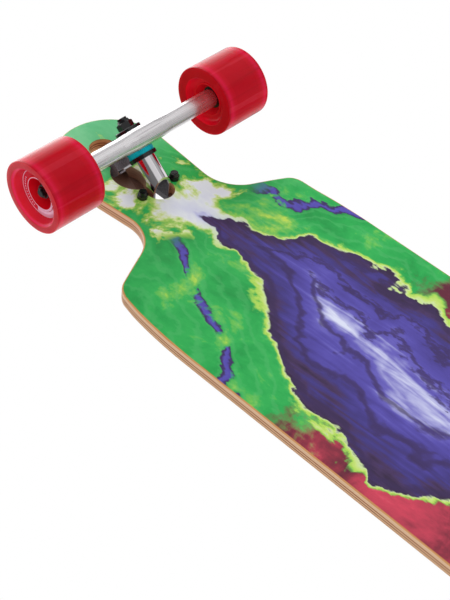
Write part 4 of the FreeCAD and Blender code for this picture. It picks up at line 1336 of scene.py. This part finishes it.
@dataclass
class Wheel:
    """One wheel: a cast tyre with its print, a hard core and two bearings.

    Args:
        end: Which end of the board it is on.
        side: Which side of the board it is on.
        nodes: The frame's pieces by name.
        form: The wheel's form.
        ink_thickness: Thickness of a print band, in millimetres.
        ink_sunk: How deep a print band starts in the surface under it, in millimetres.
        ring_inner: Radii of the print's inner ring, in millimetres.
        ring_outer: Radii of the print's outer ring, in millimetres.
        dash: Radii of the print's dashes, in millimetres.
        arc_inner: Radii of the broad arc's part on the core, in millimetres.
        arc_outer: Radii of the broad arc's part on the tyre, in millimetres.
        dashes: Number of dashes in the print.
        dash_start: Angle of the first dash, in degrees.
        dash_step: Angle from dash to dash, in degrees.
        dash_sweep: Angle that a dash covers, in degrees.
        arc_start: Angle where the print's broad arc starts, in degrees.
        arc_sweep: Angle that the arc covers, in degrees.
        turns: Points round the wheel.
        corner_steps: Points on each rounded corner.
    """

    end: End
    side: Side
    nodes: Mapping[str, bpy.types.Object]
    form: WheelShape = RED_URETHANE.form
    ink_thickness: float = 0.15
    ink_sunk: float = 0.1
    ring_inner: Span = (15.3, 16.1)
    ring_outer: Span = (22.6, 23.4)
    dash: Span = (19.1, 20.6)
    arc_inner: Span = (16.1, 17.4)
    arc_outer: Span = (17.6, 22.6)
    dashes: int = 12
    dash_start: float = -22.0
    dash_step: float = 7.8
    dash_sweep: float = 3.2
    arc_start: float = 80.0
    arc_sweep: float = 92.0
    turns: int = 192
    corner_steps: int = 7

    @property
    def label(self) -> str:
        """The start of this wheel's node names."""
        return f"{self.end.label}_{self.side.label}"

    def spun(self, name: str, outline: np.ndarray, start: float = 0.0,
             sweep: float = 360.0) -> bpy.types.Object:
        """Turns a closed outline about the axle.

        A point at radius r and distance a along the axle lands, for each angle t, at r times the cosine and
        sine of t around the axle.

        Args:
            name: The new piece's name.
            outline: Points of radius and distance from the board's middle line, in millimetres.
            start: The angle where the piece starts, in degrees.
            sweep: How far round it goes, in degrees.

        Returns:
            The new piece, riding on its wheel.
        """
        whole = sweep >= 360.0
        count = self.turns if whole else max(6, int(self.turns * sweep / 360.0))
        angle = np.radians(start + np.linspace(0.0, sweep, count, endpoint=not whole))[:, None]
        out, across = outline[None, :, 0], outline[None, :, 1]
        ahead = self.end.value * (AXLE_ALONG + out * np.cos(angle))
        sideways = self.side.value * across * np.ones_like(angle)
        up = AXLE_UP + out * np.sin(angle)
        points = np.stack([ahead, sideways, up], axis=-1) * MM
        if self.end.value * self.side.value < 0:
            points = points[::-1]
        piece = grid_piece(f"{self.label}_{name}", points, whole, True)
        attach(piece, f"{self.label}_wheel")
        return piece

    def build_tyre(self) -> None:
        """The tyre with rounded lips, in place of the plain solid."""
        tyre = self.spun("cast_tyre", rounded(self.form.corners(), self.corner_steps))
        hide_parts(f"{self.label}_tyre")
        RED_URETHANE.dress(tyre)

    def bands(self) -> list[PrintBand]:
        """The plain print: two rings, a row of dashes and one broad arc over the core's edge.

        Returns:
            The bands, in the order that they are built.
        """
        arc = (self.arc_start, self.arc_sweep)
        starts = [self.dash_start + self.dash_step * step for step in range(self.dashes)]
        return [
            PrintBand("print_ring_inner", self.ring_inner, on_core=True),
            PrintBand("print_ring_outer", self.ring_outer),
            *[PrintBand(f"print_dash_{step}", self.dash, start, self.dash_sweep)
              for step, start in enumerate(starts)],
            PrintBand("print_arc_inner", self.arc_inner, *arc, on_core=True),
            PrintBand("print_arc_outer", self.arc_outer, *arc),
        ]

    def build_print(self) -> None:
        """Lays the print on the dish's floor, each band a flat bar turned about the axle."""
        floor = self.form.lip_out - self.form.dish_depth
        for band in self.bands():
            low = floor + band.on_core * self.form.core_step - self.ink_sunk
            high = low + self.ink_thickness
            inner, outer = band.radii
            outline = np.array([(inner, low), (outer, low), (outer, high), (inner, high)])
            piece = self.spun(band.name, outline, band.start, band.sweep)
            INK.dress(piece)

    def dress(self) -> None:
        """Gives the core and the bearings their finishes."""
        finishes = {
            "wheel_core": RED_CORE,
            "bearing_outer_races": RACE_STEEL,
            "bearing_inner_races": RACE_STEEL,
            "bearing_balls": BRIGHT_STEEL,
            "bearing_shields": SEAL,
            "bearing_spacer": BRIGHT_STEEL,
        }
        for name, finish in finishes.items():
            finish.dress(self.nodes[f"{self.label}_{name}"])


@dataclass(frozen=True)
class Lamp:
    """One soft studio lamp, aimed at the front truck, that gloss doesn't show.

    Args:
        name: What the lamp does.
        direction: Where it stands, seen from the truck.
        distance: How far away it stands, in metres.
        size: Its width and height, in metres.
        level: Its brightness, where 1 is the white of the background.
    """

    name: str
    direction: Triple
    distance: float
    size: Span
    level: float

    def build(self, target: Vector) -> None:
        """Hangs the lamp, turned to the target.

        Args:
            target: The point that it is aimed at.
        """
        data = bpy.data.lights.new(self.name, "AREA")
        data.shape = "RECTANGLE"
        data.size, data.size_y = self.size
        data.energy = self.level * math.pi * self.size[0] * self.size[1]
        lamp = bpy.data.objects.new(self.name, data)
        way = Vector(self.direction).normalized()
        lamp.location = target + way * self.distance
        lamp.rotation_mode = "QUATERNION"
        lamp.rotation_quaternion = way.to_track_quat("Z", "Y")
        lamp.visible_camera = False
        lamp.visible_glossy = False
        bpy.context.scene.collection.objects.link(lamp)
        log.info("%s: lamp", self.name)


@dataclass(frozen=True)
class Panel:
    """One white panel far away, that only gloss shows.

    Args:
        direction: Where its middle stands, seen from the board.
        edge: Cosine of the angle from its middle where it starts to show.
        full: Cosine of the angle from its middle where it is at its brightest.
        level: Its brightness.
    """

    direction: Triple
    edge: float
    full: float
    level: float

    def add_to(self, recipe: Recipe, ways: Socket, room: Node) -> Node:
        """Adds the panel's soft-edged light to that of the room.

        Args:
            recipe: The world's node tree.
            ways: The direction that is looked in.
            room: The light that the room has so far.

        Returns:
            The light with the panel's.
        """
        middle = tuple(Vector(self.direction).normalized())
        towards = recipe.add("VectorMath", {0: ways, 1: middle}, operation="DOT_PRODUCT").outputs["Value"]
        share = recipe.add("MapRange", {"Value": towards, "From Min": self.edge, "From Max": self.full},
                           interpolation_type="SMOOTHSTEP")
        return recipe.add("Math", {0: share, 1: self.level, 2: room}, operation="MULTIPLY_ADD")


@dataclass
class Studio:
    """The floor, the white surround, the lamps and the camera.

    Args:
        ambient: Brightness of the even light from all sides.
        gloss: Brightness that gloss shows of the room ahead and of the room behind.
        gloss_turn: How far ahead, from -1 to 1, the one starts to go over into the other and where it ends.
        panels: White panels that gloss shows.
        floor_half: Half the width of the floor paper, in metres.
        floor_steps: Points along each side of the floor paper.
        focus: The point that the lamps are aimed at.
        lamps: The lamps.
        eye: Where the camera stands.
        right: The picture's right-hand direction.
        back: The direction from the scene to the camera.
        lens: Focal length, in millimetres.
        sensor: Height of the camera's sensor, in millimetres.
        near: Distance from the camera where the picture starts, in metres.
    """

    ambient: float = 0.72
    gloss: Span = (0.14, 0.20)
    gloss_turn: Span = (0.20, -0.45)
    panels: tuple[Panel, ...] = (
        Panel((1.0, 0.0, 0.0), 0.52, 0.88, 2.2),
        Panel((0.0, 0.0, 1.0), 0.62, 0.92, 1.0),
        Panel((0.0, 0.54, -0.84), 0.80, 0.93, 0.60),
        Panel((-0.735, -0.05, -0.675), 0.83, 0.93, 0.65),
        Panel((0.0, 1.0, 0.0), 0.90, 0.97, 0.90),
        Panel((-0.80, 0.54, -0.25), 0.78, 0.92, 0.26),
    )
    floor_half: float = 3.0
    floor_steps: int = 9
    focus: Triple = (0.30, 0.0, 0.06)
    lamps: tuple[Lamp, ...] = (
        Lamp("key_lamp", (0.72, 0.54, -0.40), 2.2, (1.3, 1.3), 6.2),
        Lamp("fill_lamp", (-0.80, -0.15, -0.60), 2.4, (1.6, 1.6), 2.4),
        Lamp("top_lamp", (-0.45, 0.30, 0.85), 2.4, (1.8, 1.8), 3.3),
    )
    eye: Triple = (-0.2218, -0.6332, -0.6831)
    right: Triple = (-0.71835, 0.69079, -0.08238)
    back: Triple = (-0.43611, -0.53940, -0.72032)
    lens: float = 73.30
    sensor: float = 36.0
    near: float = 0.01

    def build(self) -> None:
        """Sets up everything around the board."""
        self.build_surround()
        self.build_floor()
        for lamp in self.lamps:
            lamp.build(Vector(self.focus))
        self.build_camera()

    def build_surround(self) -> None:
        """A white surround for the eye, white panels in a dim room for gloss, an even grey for light."""
        world = bpy.data.worlds.new("studio_surround")
        bpy.context.scene.world = world
        recipe = Recipe(world)
        ray = recipe.add("LightPath").outputs
        ways = recipe.add("TexCoord").outputs["Generated"]
        ahead = recipe.add("SeparateXYZ", {"Vector": ways}).outputs["X"]
        dim, backdrop = self.gloss
        start, full = self.gloss_turn
        room = recipe.add("MapRange", {"Value": ahead, "From Min": start, "From Max": full, "To Min": dim,
                                       "To Max": backdrop}, interpolation_type="SMOOTHSTEP")
        for panel in self.panels:
            room = panel.add_to(recipe, ways, room)
        seen = recipe.add("Math", {0: ray["Is Camera Ray"], 1: ray["Is Transmission Ray"]},
                          operation="MAXIMUM")
        lit = recipe.add("Mix", {"Factor": ray["Is Glossy Ray"], "A": self.ambient, "B": room},
                         data_type="FLOAT")
        strength = recipe.add("Mix", {"Factor": seen, "A": lit, "B": 1.0}, data_type="FLOAT")
        recipe.surface(recipe.add("Background", {"Color": linear("#ffffff"), "Strength": strength}))
        log.info("studio_surround: world")

    def build_floor(self) -> None:
        """A flat sheet of paper under the wheels, that the lamps below shine through."""
        steps = np.linspace(-self.floor_half, self.floor_half, self.floor_steps)
        ahead, across = np.meshgrid(steps, steps, indexing="ij")
        points = np.stack([ahead, across, np.zeros_like(ahead)], axis=-1)
        floor = grid_piece("floor_paper", points, False, False)
        PAPER.dress(floor)
        for rays in ("visible_diffuse", "visible_glossy", "visible_transmission", "visible_shadow"):
            setattr(floor, rays, False)

    def build_camera(self) -> None:
        """The camera, low on the print's side, with the picture's tall frame."""
        data = bpy.data.cameras.new("camera")
        data.sensor_fit = "VERTICAL"
        data.sensor_height = self.sensor
        data.lens = self.lens
        data.clip_start = self.near
        back = Vector(self.back).normalized()
        up = back.cross(Vector(self.right)).normalized()
        right = up.cross(back)
        camera = bpy.data.objects.new("camera", data)
        camera.matrix_world = Matrix((right, up, back)).transposed().to_4x4()
        camera.location = self.eye
        bpy.context.scene.collection.objects.link(camera)
        bpy.context.scene.camera = camera
        log.info("camera: camera")


def main() -> None:
    """Loads the frame, dresses and builds every piece, and sets the studio round it."""
    logging.basicConfig(level=logging.INFO, format="%(name)s %(message)s")
    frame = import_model()
    nodes = frame["nodes"]
    bpy.context.scene.view_settings.view_transform = "Standard"
    Deck(nodes).dress()
    for end in End:
        Truck(end, nodes).dress()
        for side in Side:
            wheel = Wheel(end, side, nodes)
            wheel.build_tyre()
            wheel.build_print()
            wheel.dress()
    Studio().build()


if __name__ == "__main__":
    main()
